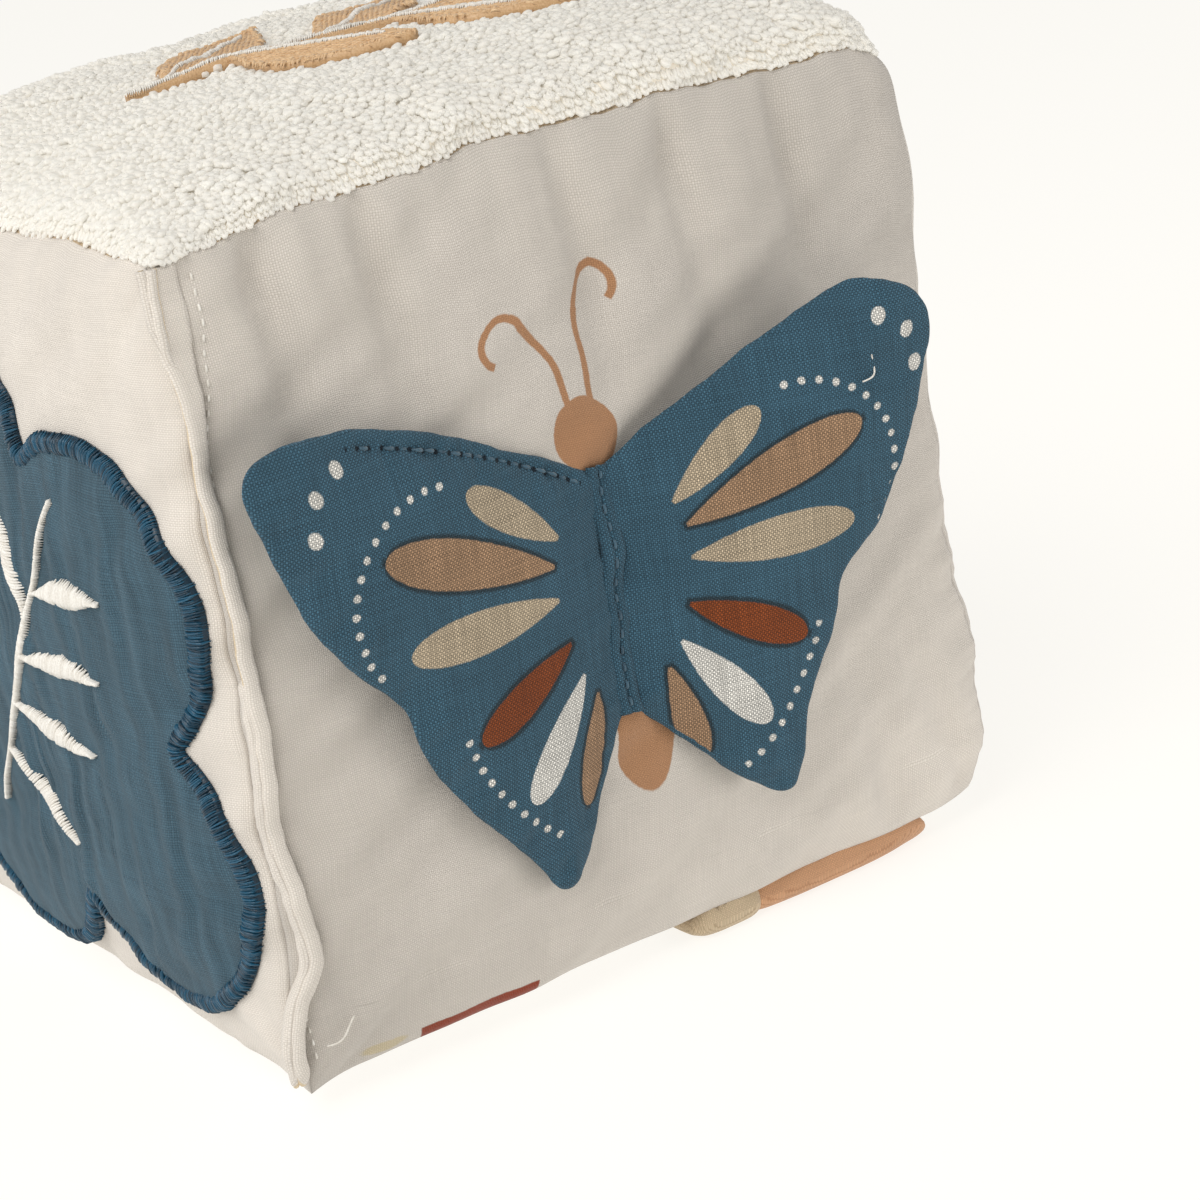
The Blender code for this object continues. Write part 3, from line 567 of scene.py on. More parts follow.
def settle(piece: bpy.types.Object, body: str, slot: Slot, *nodes: str) -> None:
    """Tie a finished piece to the frame.

    Args:
        piece: The piece.
        body: The body that it rides on, or nothing to leave it unattached.
        slot: Not used.
        nodes: The nodes that it stands for.
    """
    if nodes:
        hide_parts(*nodes)
    if body:
        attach(piece, body)
    LOG.info("%s: %d faces on %s", piece.name, len(piece.data.polygons), body)


def refined(grid: Array) -> Array:
    """Return a grid of points with a smooth point put between every two."""
    for axis in (0, 1):
        grid = np.moveaxis(grid, axis, 0)
        ends = np.concatenate((2 * grid[:1] - grid[1:2], grid, 2 * grid[-1:] - grid[-2:-1]))
        middles = (9 * (ends[1:-2] + ends[2:-1]) - ends[:-3] - ends[3:]) / 16
        full = np.empty((len(grid) * 2 - 1, *grid.shape[1:]))
        full[::2], full[1::2] = grid, middles
        grid = np.moveaxis(full, 0, axis)
    return grid


@dataclass(frozen=True)
class ClothSimulation:
    """A short cloth simulation of loose sheets that are pinned along their seams."""

    pressure: float = 0.12
    bending: float = 0.3
    stiffness: float = 40.0
    frames: int = 22
    enlarged: float = 10.0

    def run(self, start: Array, rest: Array, faces: Array, pinned: Array) -> Array:
        """Let the cloth settle.

        Args:
            start: First places of the points.
            rest: Places whose distances are the cloth's own.
            faces: Point numbers of each face.
            pinned: Numbers of the points that stay.

        Returns:
            The places at the end.
        """
        scene = bpy.context.scene
        mesh = bpy.data.meshes.new("loose_cloth")
        mesh.from_pydata((start * self.enlarged).tolist(), [], faces.tolist())
        cloth = bpy.data.objects.new("loose_cloth", mesh)
        scene.collection.objects.link(cloth)
        cloth.shape_key_add(name="Basis")
        key = cloth.shape_key_add(name="rest")
        key.data.foreach_set("co", (rest * self.enlarged).ravel())
        cloth.vertex_groups.new(name="seam").add(pinned.tolist(), 1.0, "REPLACE")
        modifier = cloth.modifiers.new("Cloth", "CLOTH")
        settings = modifier.settings
        settings.quality = 6
        settings.mass = 0.15
        settings.tension_stiffness = self.stiffness
        settings.compression_stiffness = self.stiffness
        settings.shear_stiffness = self.stiffness / 8
        settings.bending_stiffness = self.bending
        settings.tension_damping = 10
        settings.compression_damping = 10
        settings.shear_damping = 10
        settings.air_damping = 4
        settings.use_pressure = True
        settings.uniform_pressure_force = self.pressure
        settings.vertex_group_mass = "seam"
        settings.rest_shape_key = cloth.data.shape_keys.key_blocks["rest"]
        settings.effector_weights.gravity = 0
        modifier.point_cache.frame_start = 1
        modifier.point_cache.frame_end = self.frames
        for number in range(1, self.frames + 1):
            scene.frame_set(number)
        settled = cloth.evaluated_get(bpy.context.evaluated_depsgraph_get()).data
        points = np.empty(len(settled.vertices) * 3)
        settled.vertices.foreach_get("co", points)
        bpy.data.objects.remove(cloth)
        scene.frame_set(1)
        return points.reshape(-1, 3) / self.enlarged


@dataclass(frozen=True)
class Gather:
    """One soft fold that starts at a seam and runs into the panel."""

    share: float
    width: float
    reach: float
    rise: float
    lean: float = 0.0


@dataclass(frozen=True)
class BlockSize:
    """Sizes of the stuffed block from seam to seam."""

    width: float = 0.1228
    depth: float = 0.1200
    height: float = 0.1171
    lift: float = 0.0050

    @property
    def middle(self) -> Array:
        """The block's middle."""
        return np.array((0, 0, self.lift + self.height / 2))


class Panel:
    """One face of the cover: its frame, its swell and the places of its cloth."""

    POWER = 4
    EDGE_SPACING = 0.8

    def __init__(self, name: str, across: Place, up: Sequence[float], sizes: Sequence[float], crown: float,
                 count: int, fullness: float = 0.5, lean: float = 0.0, pressed: float = 1.0,
                 gathers: dict[str, Sequence[Gather]] | None = None, excess: float = 0.02,
                 covered: bool = False) -> None:
        """Place a panel.

        Args:
            name: The panel's node.
            across: The panel's first axis, seen from outside.
            up: Its second axis.
            sizes: Its width, its height and its distance from the block's middle, all halved.
            crown: How far its middle swells out.
            count: Steps of its grid.
            fullness: How square the swell is.
            lean: How much more it swells on one side.
            pressed: Share past which the swell is flat.
            gathers: Folds at each of its seams, named top, bottom, left and right.
            excess: How much longer the cloth is than its seams.
            covered: Whether something lies on its middle, which then swells out no further.
        """
        self.name = name
        self.across, self.up = np.array(across, float), np.array(up, float)
        self.out = np.cross(self.across, self.up)
        self.half_width, self.half_height, distance = sizes
        self.middle = BlockSize().middle + self.out * distance
        self.crown, self.fullness, self.lean, self.pressed = crown, fullness, lean, pressed
        self.gathers = gathers or {}
        self.excess = excess
        self.covered = covered
        quarter = math.pi / 2 * self.EDGE_SPACING
        self.lines = np.sin(quarter * np.linspace(-1, 1, count + 1)) / math.sin(quarter)
        self.grid: Array = np.empty(0)
        self.fine_lines: Array = np.empty(0)
        self.fine: Array = np.empty(0)

    def swell(self, x: Array, y: Array) -> Array:
        """Return how far the stuffed cloth stands out over its seams at a place."""
        share_x = np.minimum(np.abs(x) / self.half_width, 1)
        share_y = np.minimum(np.abs(y) / self.half_height, 1)
        pillow = ((1 - share_x**self.POWER) * (1 - share_y**self.POWER)) ** self.fullness
        lean = 1 + self.lean * x / self.half_width
        return self.crown * lean * np.minimum(pillow / self.pressed, 1)

    def folds(self, x: Array, y: Array) -> Array:
        """Return the height of the soft folds that start the simulation."""
        seams = {
            "top": (x, self.half_height - y, self.half_width),
            "bottom": (x, self.half_height + y, self.half_width),
            "left": (y, self.half_width + x, self.half_height),
            "right": (y, self.half_width - x, self.half_height),
        }
        total = np.zeros_like(x)
        for side, folds in self.gathers.items():
            along, depth, half = seams[side]
            for fold in folds:
                centre = fold.share * half + fold.lean * depth
                width = fold.width * (1 + depth / fold.reach * 0.6)
                total += fold.rise * np.exp(-(((along - centre) / width) ** 2)) * np.exp(-((depth / fold.reach) ** 2))
        share_x, share_y = x / self.half_width, y / self.half_height
        return total * (1 - np.abs(share_x) ** 24) * (1 - np.abs(share_y) ** 24)

    def run(self, share: Array, half: float) -> Array:
        """Return how far along the swollen cloth a share of its half width lies from its middle."""
        steps = np.linspace(0, 1, 600)
        rise = self.crown * np.minimum((1 - steps**self.POWER) ** self.fullness / self.pressed, 1)
        length = np.concatenate(([0], np.cumsum(np.hypot(np.diff(steps * half), np.diff(rise)))))
        return np.sign(share) * np.interp(np.abs(share), steps, length)

    def even_shares(self, half: float, pitch: float, inset: float) -> Array:
        """Return shares of a half width that lie at even distances along the cloth, inside the seams."""
        steps = np.linspace(-1, 1, 1201)
        length = self.run(steps, half)
        return np.interp(np.arange(length[0] + inset, length[-1] - inset, pitch), length, steps)

    def flat_places(self, lines: Array) -> tuple[Array, Array]:
        """Return the flat places of the cloth's grid."""
        share_x, share_y = np.meshgrid(lines, lines)
        return share_x * self.half_width, share_y * self.half_height

    def world(self, x: Array, y: Array, z: Array) -> Array:
        """Turn places on the panel into places in the frame."""
        return self.middle + x[..., None] * self.across + y[..., None] * self.up + z[..., None] * self.out

    def start(self) -> tuple[Array, Array]:
        """Return the first places of the cloth, and the places that give its own lengths."""
        x, y = self.flat_places(self.lines)
        height = self.swell(x, y)
        depth = (y / self.half_height + 1) / 2
        extra = 1 + self.excess * (0.35 + 0.65 * depth**2)
        first = self.world(x, y, height + self.folds(x, y))
        return first, self.world(x * extra, y * (1 + self.excess * 0.25), height)

    def take(self, points: Array) -> None:
        """Keep the simulated places, held near the stuffed form, and a finer grid through them."""
        side = len(self.lines)
        grid = points.reshape(side, side, 3)
        x, y = self.flat_places(self.lines)
        local = grid - self.world(x, y, self.swell(x, y) + self.folds(x, y))
        outward_part = local @ self.out
        allowed = 0.0003 + 0.003 * np.clip(np.hypot(x / 0.048, y / 0.046) ** 6, 0, 1)
        if self.covered:
            local = local - np.maximum(outward_part - allowed, 0)[..., None] * self.out
        limit = 0.0022
        self.grid = grid - local + limit * np.tanh(local / limit)
        self.fine = HandShape().apply(refined(self.grid))
        self.fine_lines = refined(np.stack([self.lines] * 2)[..., None])[0, :, 0]

    def at(self, x: Array, y: Array, height: Array | float = 0.0) -> tuple[Array, Array]:
        """Find places on the finished cloth.

        Args:
            x: Flat places across.
            y: Flat places up.
            height: How far over the cloth.

        Returns:
            The places in the frame, and the cloth's outward directions there.
        """
        steps = np.arange(len(self.fine_lines), dtype=float)
        column = np.interp(np.asarray(x) / self.half_width, self.fine_lines, steps)
        row = np.interp(np.asarray(y) / self.half_height, self.fine_lines, steps)
        i = np.minimum(row.astype(int), len(steps) - 2)
        j = np.minimum(column.astype(int), len(steps) - 2)
        a, b = (row - i)[..., None], (column - j)[..., None]
        corners = (self.fine[i, j], self.fine[i, j + 1], self.fine[i + 1, j], self.fine[i + 1, j + 1])
        place = (corners[0] * (1 - b) + corners[1] * b) * (1 - a) + (corners[2] * (1 - b) + corners[3] * b) * a
        right = (corners[1] - corners[0]) * (1 - a) + (corners[3] - corners[2]) * a
        upward = (corners[2] - corners[0]) * (1 - b) + (corners[3] - corners[1]) * b
        normal = unit(np.cross(right, upward))
        return place + normal * np.asarray(height)[..., None], normal

    def inside_share(self, x: Array, y: Array) -> Array:
        """Return 1 away from the seams, falling to 0 at them."""
        return (1 - np.abs(x / self.half_width) ** 24) * (1 - np.abs(y / self.half_height) ** 24)

    def sheet(self, name: str, material: bpy.types.Material, thickness: float, sunk: float = 0.0) -> bpy.types.Object:
        """Make the panel's cloth, sunk by a depth but for its seams."""
        x, y = self.flat_places(self.fine_lines)
        points = self.at(x, y, -sunk * self.inside_share(x, y))[0] if sunk else self.fine.copy()
        side = len(self.fine_lines)
        weave = np.stack((self.run(x / self.half_width, self.half_width),
                          self.run(y / self.half_height, self.half_height)), -1).reshape(-1, 2)
        piece = Mesher.build(name, points.reshape(-1, 3), Mesher.grid_faces(side, side), material, weave)
        Mesher.thicken(piece, thickness)
        return piece


@dataclass(frozen=True)
class HandShape:
    """How the hand-stuffed block differs from a true one: round corners, uneven seams and a bulge."""

    corner: float = 0.0040
    corner_share: float = 0.86
    foot: float = 0.0004
    foot_height: float = 0.0100
    bulge: float = 0.0042
    bulge_height: float = 0.0200
    bulge_reach: float = 0.0220
    seam_wave: float = 0.0005
    bow: float = 0.0050
    sag: float = 0.0016
    pull: float = 0.0040

    def apply(self, points: Array) -> Array:
        """Return places on the block, moved."""
        size = BlockSize()
        half = np.array((size.width, size.depth, size.height)) / 2
        local = points - size.middle
        share = np.clip(np.abs(local) / half, 0, 1)
        near = np.clip((share - self.corner_share) / (1 - self.corner_share), 0, 1) ** 1.5
        corner = near.prod(-1, keepdims=True)
        right, front, upper = local[..., :1] > 0, local[..., 1:2] < 0, local[..., 2:] > 0
        cut = np.where(front, np.where(right, np.where(upper, 0.15, 0.3), 0.1), np.where(upper, 0.25, 1.0))
        moved = local - np.sign(local) * corner * self.corner * cut * (0.6, 0.6, 1.0)
        moved[..., 2] -= self.sag * (corner * (front & ~right & ~upper))[..., 0]
        moved[..., 0] -= self.pull * (corner * near[..., 2:] * (front & right & upper))[..., 0]
        foot = np.clip((size.lift + self.foot_height - points[..., 2]) / self.foot_height, 0, 1) ** 2
        moved[..., :2] -= foot[..., None] * self.foot * (local / half)[..., :2]
        x, y, z = points[..., 0], points[..., 1], points[..., 2]
        side = np.clip((x / half[0] - 0.55) / 0.45, 0, 1) ** 2 * np.clip(0.55 - y / half[1], 0, 1)
        moved[..., 0] += self.bulge * side * np.exp(-(((z - self.bulge_height) / self.bulge_reach) ** 2))
        edge = np.clip((np.minimum(x / half[0], -y / half[1]) - 0.90) / 0.10, 0, 1)
        fade = np.clip(1.3 - np.abs(z - 0.040) / 0.034, 0, 1)
        moved[..., 0] += 0.00035 * edge * smooth_waves(z, 0.0190, 17, 2) * fade
        moved[..., 1] += 0.00070 * edge * smooth_waves(z, 0.0150, 18, 3) * fade
        wave = self.seam_wave * share.max(-1) ** 4
        moved[..., 0] += wave * smooth_waves(z + 0.5 * y, 0.031, 3)
        moved[..., 1] += wave * smooth_waves(z - 0.6 * x, 0.027, 5) * (share[..., 1] > 0.5)
        moved[..., 2] += wave * smooth_waves(x + 0.7 * y, 0.029, 8) * (z > size.lift * 3)
        along = (x / half[0] + 1) / 2
        bow = np.sin(math.pi / 2 * np.clip(along / 0.6, 0, 1)) * (1 - 0.22 * np.clip(along, 0, 1) ** 12)
        near_top = np.clip((local[..., 2] / half[2] - 0.72) / 0.28, 0, 1) ** 1.5
        near_front = np.clip((0.2 - local[..., 1] / half[1]) / 1.2, 0, 1) ** 2
        moved[..., 2] += self.bow * bow * near_top * near_front
        moved[..., 2] = np.maximum(moved[..., 2], FLOOR - size.middle[2])
        return moved + size.middle


@dataclass(frozen=True)
class YarnUnit:
    """Unit shape of one stitch or loop: its long side is X and it stands up along Z."""

    shape: YarnShape
    segments: int = 7
    sides: int = 5
    radius: float = 0.14

    def tree(self, name: str, material: bpy.types.Material) -> bpy.types.NodeTree:
        """Return a node group that sets the shape on every point of a mesh.

        Args:
            name: The group's name.
            material: The yarn's finish.

        Returns:
            The group, with its inputs Segments, Sides and Yarn Radius.
        """
        tree = bpy.data.node_groups.new(name, "GeometryNodeTree")
        tree.interface.new_socket("Geometry", in_out="INPUT", socket_type="NodeSocketGeometry")
        for label in ("Segments", "Sides"):
            tree.interface.new_socket(label, in_out="INPUT", socket_type="NodeSocketInt")
        tree.interface.new_socket("Yarn Radius", in_out="INPUT", socket_type="NodeSocketFloat")
        tree.interface.new_socket("Geometry", in_out="OUTPUT", socket_type="NodeSocketGeometry")
        graph = Graph(tree)
        entry = graph.node("NodeGroupInput").outputs
        unit_shape = self.loop(graph, entry) if self.shape is YarnShape.LOOP else self.stitch(graph, entry)
        facing = self.stored(graph, "facing", "FLOAT_VECTOR")
        heading = self.stored(graph, "heading", "FLOAT_VECTOR")
        size = self.stored(graph, "size", "FLOAT_VECTOR")
        rotation = graph.node("FunctionNodeAxesToRotation", {0: facing, 1: heading},
                              primary_axis="Z", secondary_axis="X").outputs[0]
        points = graph.node("GeometryNodeMeshToPoints", {0: entry["Geometry"]}).outputs[0]
        placed = graph.node("GeometryNodeInstanceOnPoints", {"Points": points, "Instance": unit_shape,
                                                             "Rotation": rotation, "Scale": size}).outputs[0]
        real = graph.node("GeometryNodeRealizeInstances", {0: placed}).outputs[0]
        done = graph.node("GeometryNodeSetMaterial", {"Geometry": real, "Material": material}).outputs[0]
        graph.node("NodeGroupOutput", {0: done})
        return tree

    @staticmethod
    def stored(graph: Graph, name: str, kind: str) -> Socket:
        """Return the socket of an attribute that the points carry."""
        made = graph.node("GeometryNodeInputNamedAttribute", {"Name": name}, data_type=kind)
        return made.outputs["Attribute"]

    @staticmethod
    def loop(graph: Graph, entry: Sequence) -> Socket:
        """Return a tear-shaped loop that stands on its two ends."""
        line = graph.node("GeometryNodeCurvePrimitiveBezierSegment", {
            "Resolution": entry["Segments"], "Start": (-0.10, 0, -0.15), "Start Handle": (-0.90, 0.05, 1.25),
            "End Handle": (0.90, -0.05, 1.25), "End": (0.10, 0, -0.15)}, mode="POSITION").outputs[0]
        ring = graph.node("GeometryNodeCurvePrimitiveCircle", {"Resolution": entry["Sides"],
                                                               "Radius": entry["Yarn Radius"]}).outputs[0]
        mesh = graph.node("GeometryNodeCurveToMesh", {"Curve": line, "Profile Curve": ring,
                                                      "Fill Caps": True}).outputs[0]
        return mesh

    @staticmethod
    def stitch(graph: Graph, entry: Sequence) -> Socket:
        """Return a short rounded thread whose two ends dip into the cloth."""
        line = graph.node("GeometryNodeCurvePrimitiveLine", {"Start": (-0.5, 0, 0), "End": (0.5, 0, 0)}).outputs[0]
        line = graph.node("GeometryNodeResampleCurve", {"Curve": line, "Count": entry["Segments"]}).outputs[0]
        ring = graph.node("GeometryNodeCurvePrimitiveCircle", {"Resolution": entry["Sides"],
                                                               "Radius": entry["Yarn Radius"]}).outputs[0]
        place = graph.node("GeometryNodeInputPosition").outputs[0]
        end = graph.math("POWER", graph.times(graph.math("ABSOLUTE", graph.split(place)[0]), 2.0), 4.0)
        thin = graph.minus(1.0, graph.times(end, 0.7))
        mesh = graph.node("GeometryNodeCurveToMesh", {"Curve": line, "Profile Curve": ring, "Scale": thin,
                                                      "Fill Caps": True}).outputs[0]
        drop = graph.combine(0.0, 0.0, graph.times(end, -0.9))
        return graph.node("GeometryNodeSetPosition", {"Geometry": mesh, "Offset": drop}).outputs[0]


@dataclass
class Threads:
    """Places, directions and sizes of many stitches or loops."""

    places: list[Array]
    headings: list[Array]
    facings: list[Array]
    sizes: list[Array]

    @classmethod
    def empty(cls) -> "Threads":
        """Return a set with nothing in it."""
        return cls([], [], [], [])

    def add(self, places: Array, headings: Array, facings: Array, sizes: Array | Sequence[float]) -> None:
        """Add stitches, with a size of length, width and height for all or for each."""
        self.places.append(places)
        self.headings.append(unit(headings))
        self.facings.append(unit(facings))
        self.sizes.append(np.broadcast_to(np.asarray(sizes, float), places.shape))

    def between(self, starts: Array, ends: Array, facings: Array, width: float, height: float,
                sink: float = 0.0) -> None:
        """Add one stitch from each start to its end."""
        run = ends - starts
        length = np.linalg.norm(run, axis=1)
        middle = (starts + ends) / 2 - unit(facings) * sink
        size = np.stack((length, np.full_like(length, width), np.full_like(length, height)), -1)
        self.add(middle, run, facings, size)

    def piece(self, name: str, yarn: YarnUnit, material: bpy.types.Material, seed: int = 1) -> bpy.types.Object:
        """Turn the set into one plain mesh object.

        Args:
            name: The piece's name.
            yarn: The unit shape.
            material: The finish.
            seed: Choice of the tones.

        Returns:
            The new object at the origin.
        """
        places = np.concatenate(self.places)
        mesh = bpy.data.meshes.new(name)
        mesh.from_pydata(places.tolist(), [], [])
        for label, rows in (("facing", self.facings), ("heading", self.headings), ("size", self.sizes)):
            layer = mesh.attributes.new(label, "FLOAT_VECTOR", "POINT")
            layer.data.foreach_set("vector", np.concatenate(rows).astype(np.float32).ravel())
        tones = np.random.default_rng(seed).random(len(places)).astype(np.float32)
        mesh.attributes.new("tone", "FLOAT", "POINT").data.foreach_set("value", tones)
        points = bpy.data.objects.new(name, mesh)
        bpy.context.scene.collection.objects.link(points)
        modifier = points.modifiers.new("Threads", "NODES")
        tree = yarn.tree(f"{name}_threads", material)
        modifier.node_group = tree
        values = {"Segments": yarn.segments, "Sides": yarn.sides, "Yarn Radius": yarn.radius}
        for item in tree.interface.items_tree:
            if item.in_out == "INPUT" and item.name in values:
                modifier[item.identifier] = values[item.name]
        graph = bpy.context.evaluated_depsgraph_get()
        solid = bpy.data.meshes.new_from_object(points.evaluated_get(graph))
        solid.name = name
        for label in ("facing", "heading", "size"):
            if label in solid.attributes:
                solid.attributes.remove(solid.attributes[label])
        if not solid.materials:
            solid.materials.append(material)
        solid.shade_smooth()
        made = bpy.data.objects.new(name, solid)
        bpy.context.scene.collection.objects.link(made)
        bpy.data.objects.remove(points)
        made.name = name
        return made


STITCH = YarnUnit(YarnShape.STITCH, segments=7, sides=6, radius=0.5)
SHORT_STITCH = YarnUnit(YarnShape.STITCH, segments=5, sides=5, radius=0.5)
PILE_LOOP = YarnUnit(YarnShape.LOOP, segments=5, sides=5, radius=0.29)


def joined(pieces: Sequence[bpy.types.Object]) -> bpy.types.Object:
    """Join pieces into the first one and return it."""
    if len(pieces) > 1:
        with bpy.context.temp_override(active_object=pieces[0], selected_objects=list(pieces),
                                       selected_editable_objects=list(pieces)):
            bpy.ops.object.join()
    return pieces[0]


def rim_distance(points: Array, outline: Array) -> Array:
    """Return how far each flat point lies from a closed outline."""
    start, end = outline, np.roll(outline, -1, axis=0)
    run = end - start
    offset = points[:, None] - start[None]
    share = np.clip((offset * run).sum(-1) / np.maximum((run**2).sum(-1), 1e-18), 0, 1)
    return np.sqrt(((offset - share[..., None] * run) ** 2).sum(-1)).min(1)


def is_inside(points: Array, outline: Array) -> Array:
    """Tell which flat points lie inside a closed outline."""
    x, y = points[:, 0:1], points[:, 1:2]
    x0, y0 = outline[:, 0], outline[:, 1]
    x1, y1 = np.roll(x0, -1), np.roll(y0, -1)
    spans = (y0 > y) != (y1 > y)
    cross = (x1 - x0) * (y - y0) / np.where(y1 == y0, 1e-12, y1 - y0) + x0
    return (spans & (x < cross)).sum(1) % 2 == 1


def spaced(outline: Array, spacing: float, closed: bool = True) -> Array:
    """Return points at even distances along a line."""
    ring = np.vstack((outline, outline[:1])) if closed else outline
    run = np.concatenate(([0], np.cumsum(np.linalg.norm(np.diff(ring, axis=0), axis=1))))
    count = max(int(round(run[-1] / spacing)), 3)
    marks = np.linspace(0, run[-1], count + 1)[: count if closed else None]
    return np.stack([np.interp(marks, run, ring[:, axis]) for axis in range(ring.shape[1])], -1)


def outward(outline: Array) -> Array:
    """Return the outward direction at each point of a closed outline that runs counterclockwise."""
    along = np.roll(outline, -1, axis=0) - np.roll(outline, 1, axis=0)
    return unit(np.stack((along[:, 1], -along[:, 0]), -1))


def curve_through(knots: Sequence[Place], steps: int) -> Array:
    """Return a smooth open curve through points."""
    points = np.array(knots, float)
    padded = np.concatenate((points[:1], points, points[-1:]))
    curve = []
    for index in range(len(points) - 1):
        before, start, end, after = padded[index:index + 4]
        bend_out, bend_in = start + (end - before) / 6, end - (after - start) / 6
        for step in range(steps):
            t = step / steps
            curve.append((1 - t) ** 3 * start + 3 * (1 - t) ** 2 * t * bend_out
                         + 3 * (1 - t) * t**2 * bend_in + t**3 * end)
    return np.array([*curve, points[-1]])


@dataclass(frozen=True)
class Leaf:
    """A pointed leaf between two flat places."""

    base: Place
    tip: Place
    width: float

    @property
    def axis(self) -> tuple[Array, Array, Array, float]:
        """Base, direction along, direction across and length."""
        base, tip = np.array(self.base, float), np.array(self.tip, float)
        length = float(np.linalg.norm(tip - base))
        along = (tip - base) / length
        return base, along, np.array((-along[1], along[0])), length

    def half(self, share: Array) -> Array:
        """Return half of the leaf's width at a share of its length."""
        return self.width / 2 * np.sin(math.pi * np.clip(share, 0, 1))

    def outline(self, steps: int = 22) -> Array:
        """Return the leaf's rim, counterclockwise."""
        base, along, aside, length = self.axis
        shares = np.linspace(0, 1, steps + 1)
        low = base + np.outer(shares, along) * length - np.outer(self.half(shares), aside)
        high = base + np.outer(shares, along) * length + np.outer(self.half(shares), aside)
        return np.concatenate((low, high[-2:0:-1]))

    def across_stitches(self, pitch: float, rng: np.random.Generator, slant: float = 0.35) -> tuple[Array, Array]:
        """Return the two ends of satin stitches from rim to rim."""
        base, along, aside, length = self.axis
        places = np.arange(pitch, length - pitch / 2, pitch)
        half = np.maximum(self.half(places / length), pitch * 0.8)
        jitter = rng.uniform(-0.12, 0.12, (2, len(places))) * half
        lean = half * slant
        first = base + np.outer(places - lean, along) - np.outer(half + jitter[0], aside)
        last = base + np.outer(places + lean, along) + np.outer(half + jitter[1], aside)
        return first, last

    def fill_stitches(self, pitch: float, length: float, rng: np.random.Generator,
                      turn: float = 0.0) -> tuple[Array, Array]:
        """Return the two ends of short stitches laid like bricks in rows along the leaf."""
        base, along, aside, full = self.axis
        cosine, sine = math.cos(turn), math.sin(turn)
        heading, side = along * cosine + aside * sine, aside * cosine - along * sine
        middle = base + along * full / 2
        firsts, lasts = [], []
        for number, row in enumerate(np.arange(-full, full, pitch)):
            marks = np.arange(-full, full, length) + length * ((number * 0.37) % 1)
            marks = marks + rng.uniform(-0.12, 0.12, len(marks)) * length
            firsts.append(middle + np.outer(marks, heading) + side * row)
            lasts.append(middle + np.outer(marks + length, heading) + side * row)
        first, last = np.concatenate(firsts), np.concatenate(lasts)
        offset = (first + last) / 2 - base
        share = offset @ along / full
        kept = (share > 0) & (share < 1) & (np.abs(offset @ aside) < self.half(share) - pitch * 0.2)
        return first[kept], last[kept]


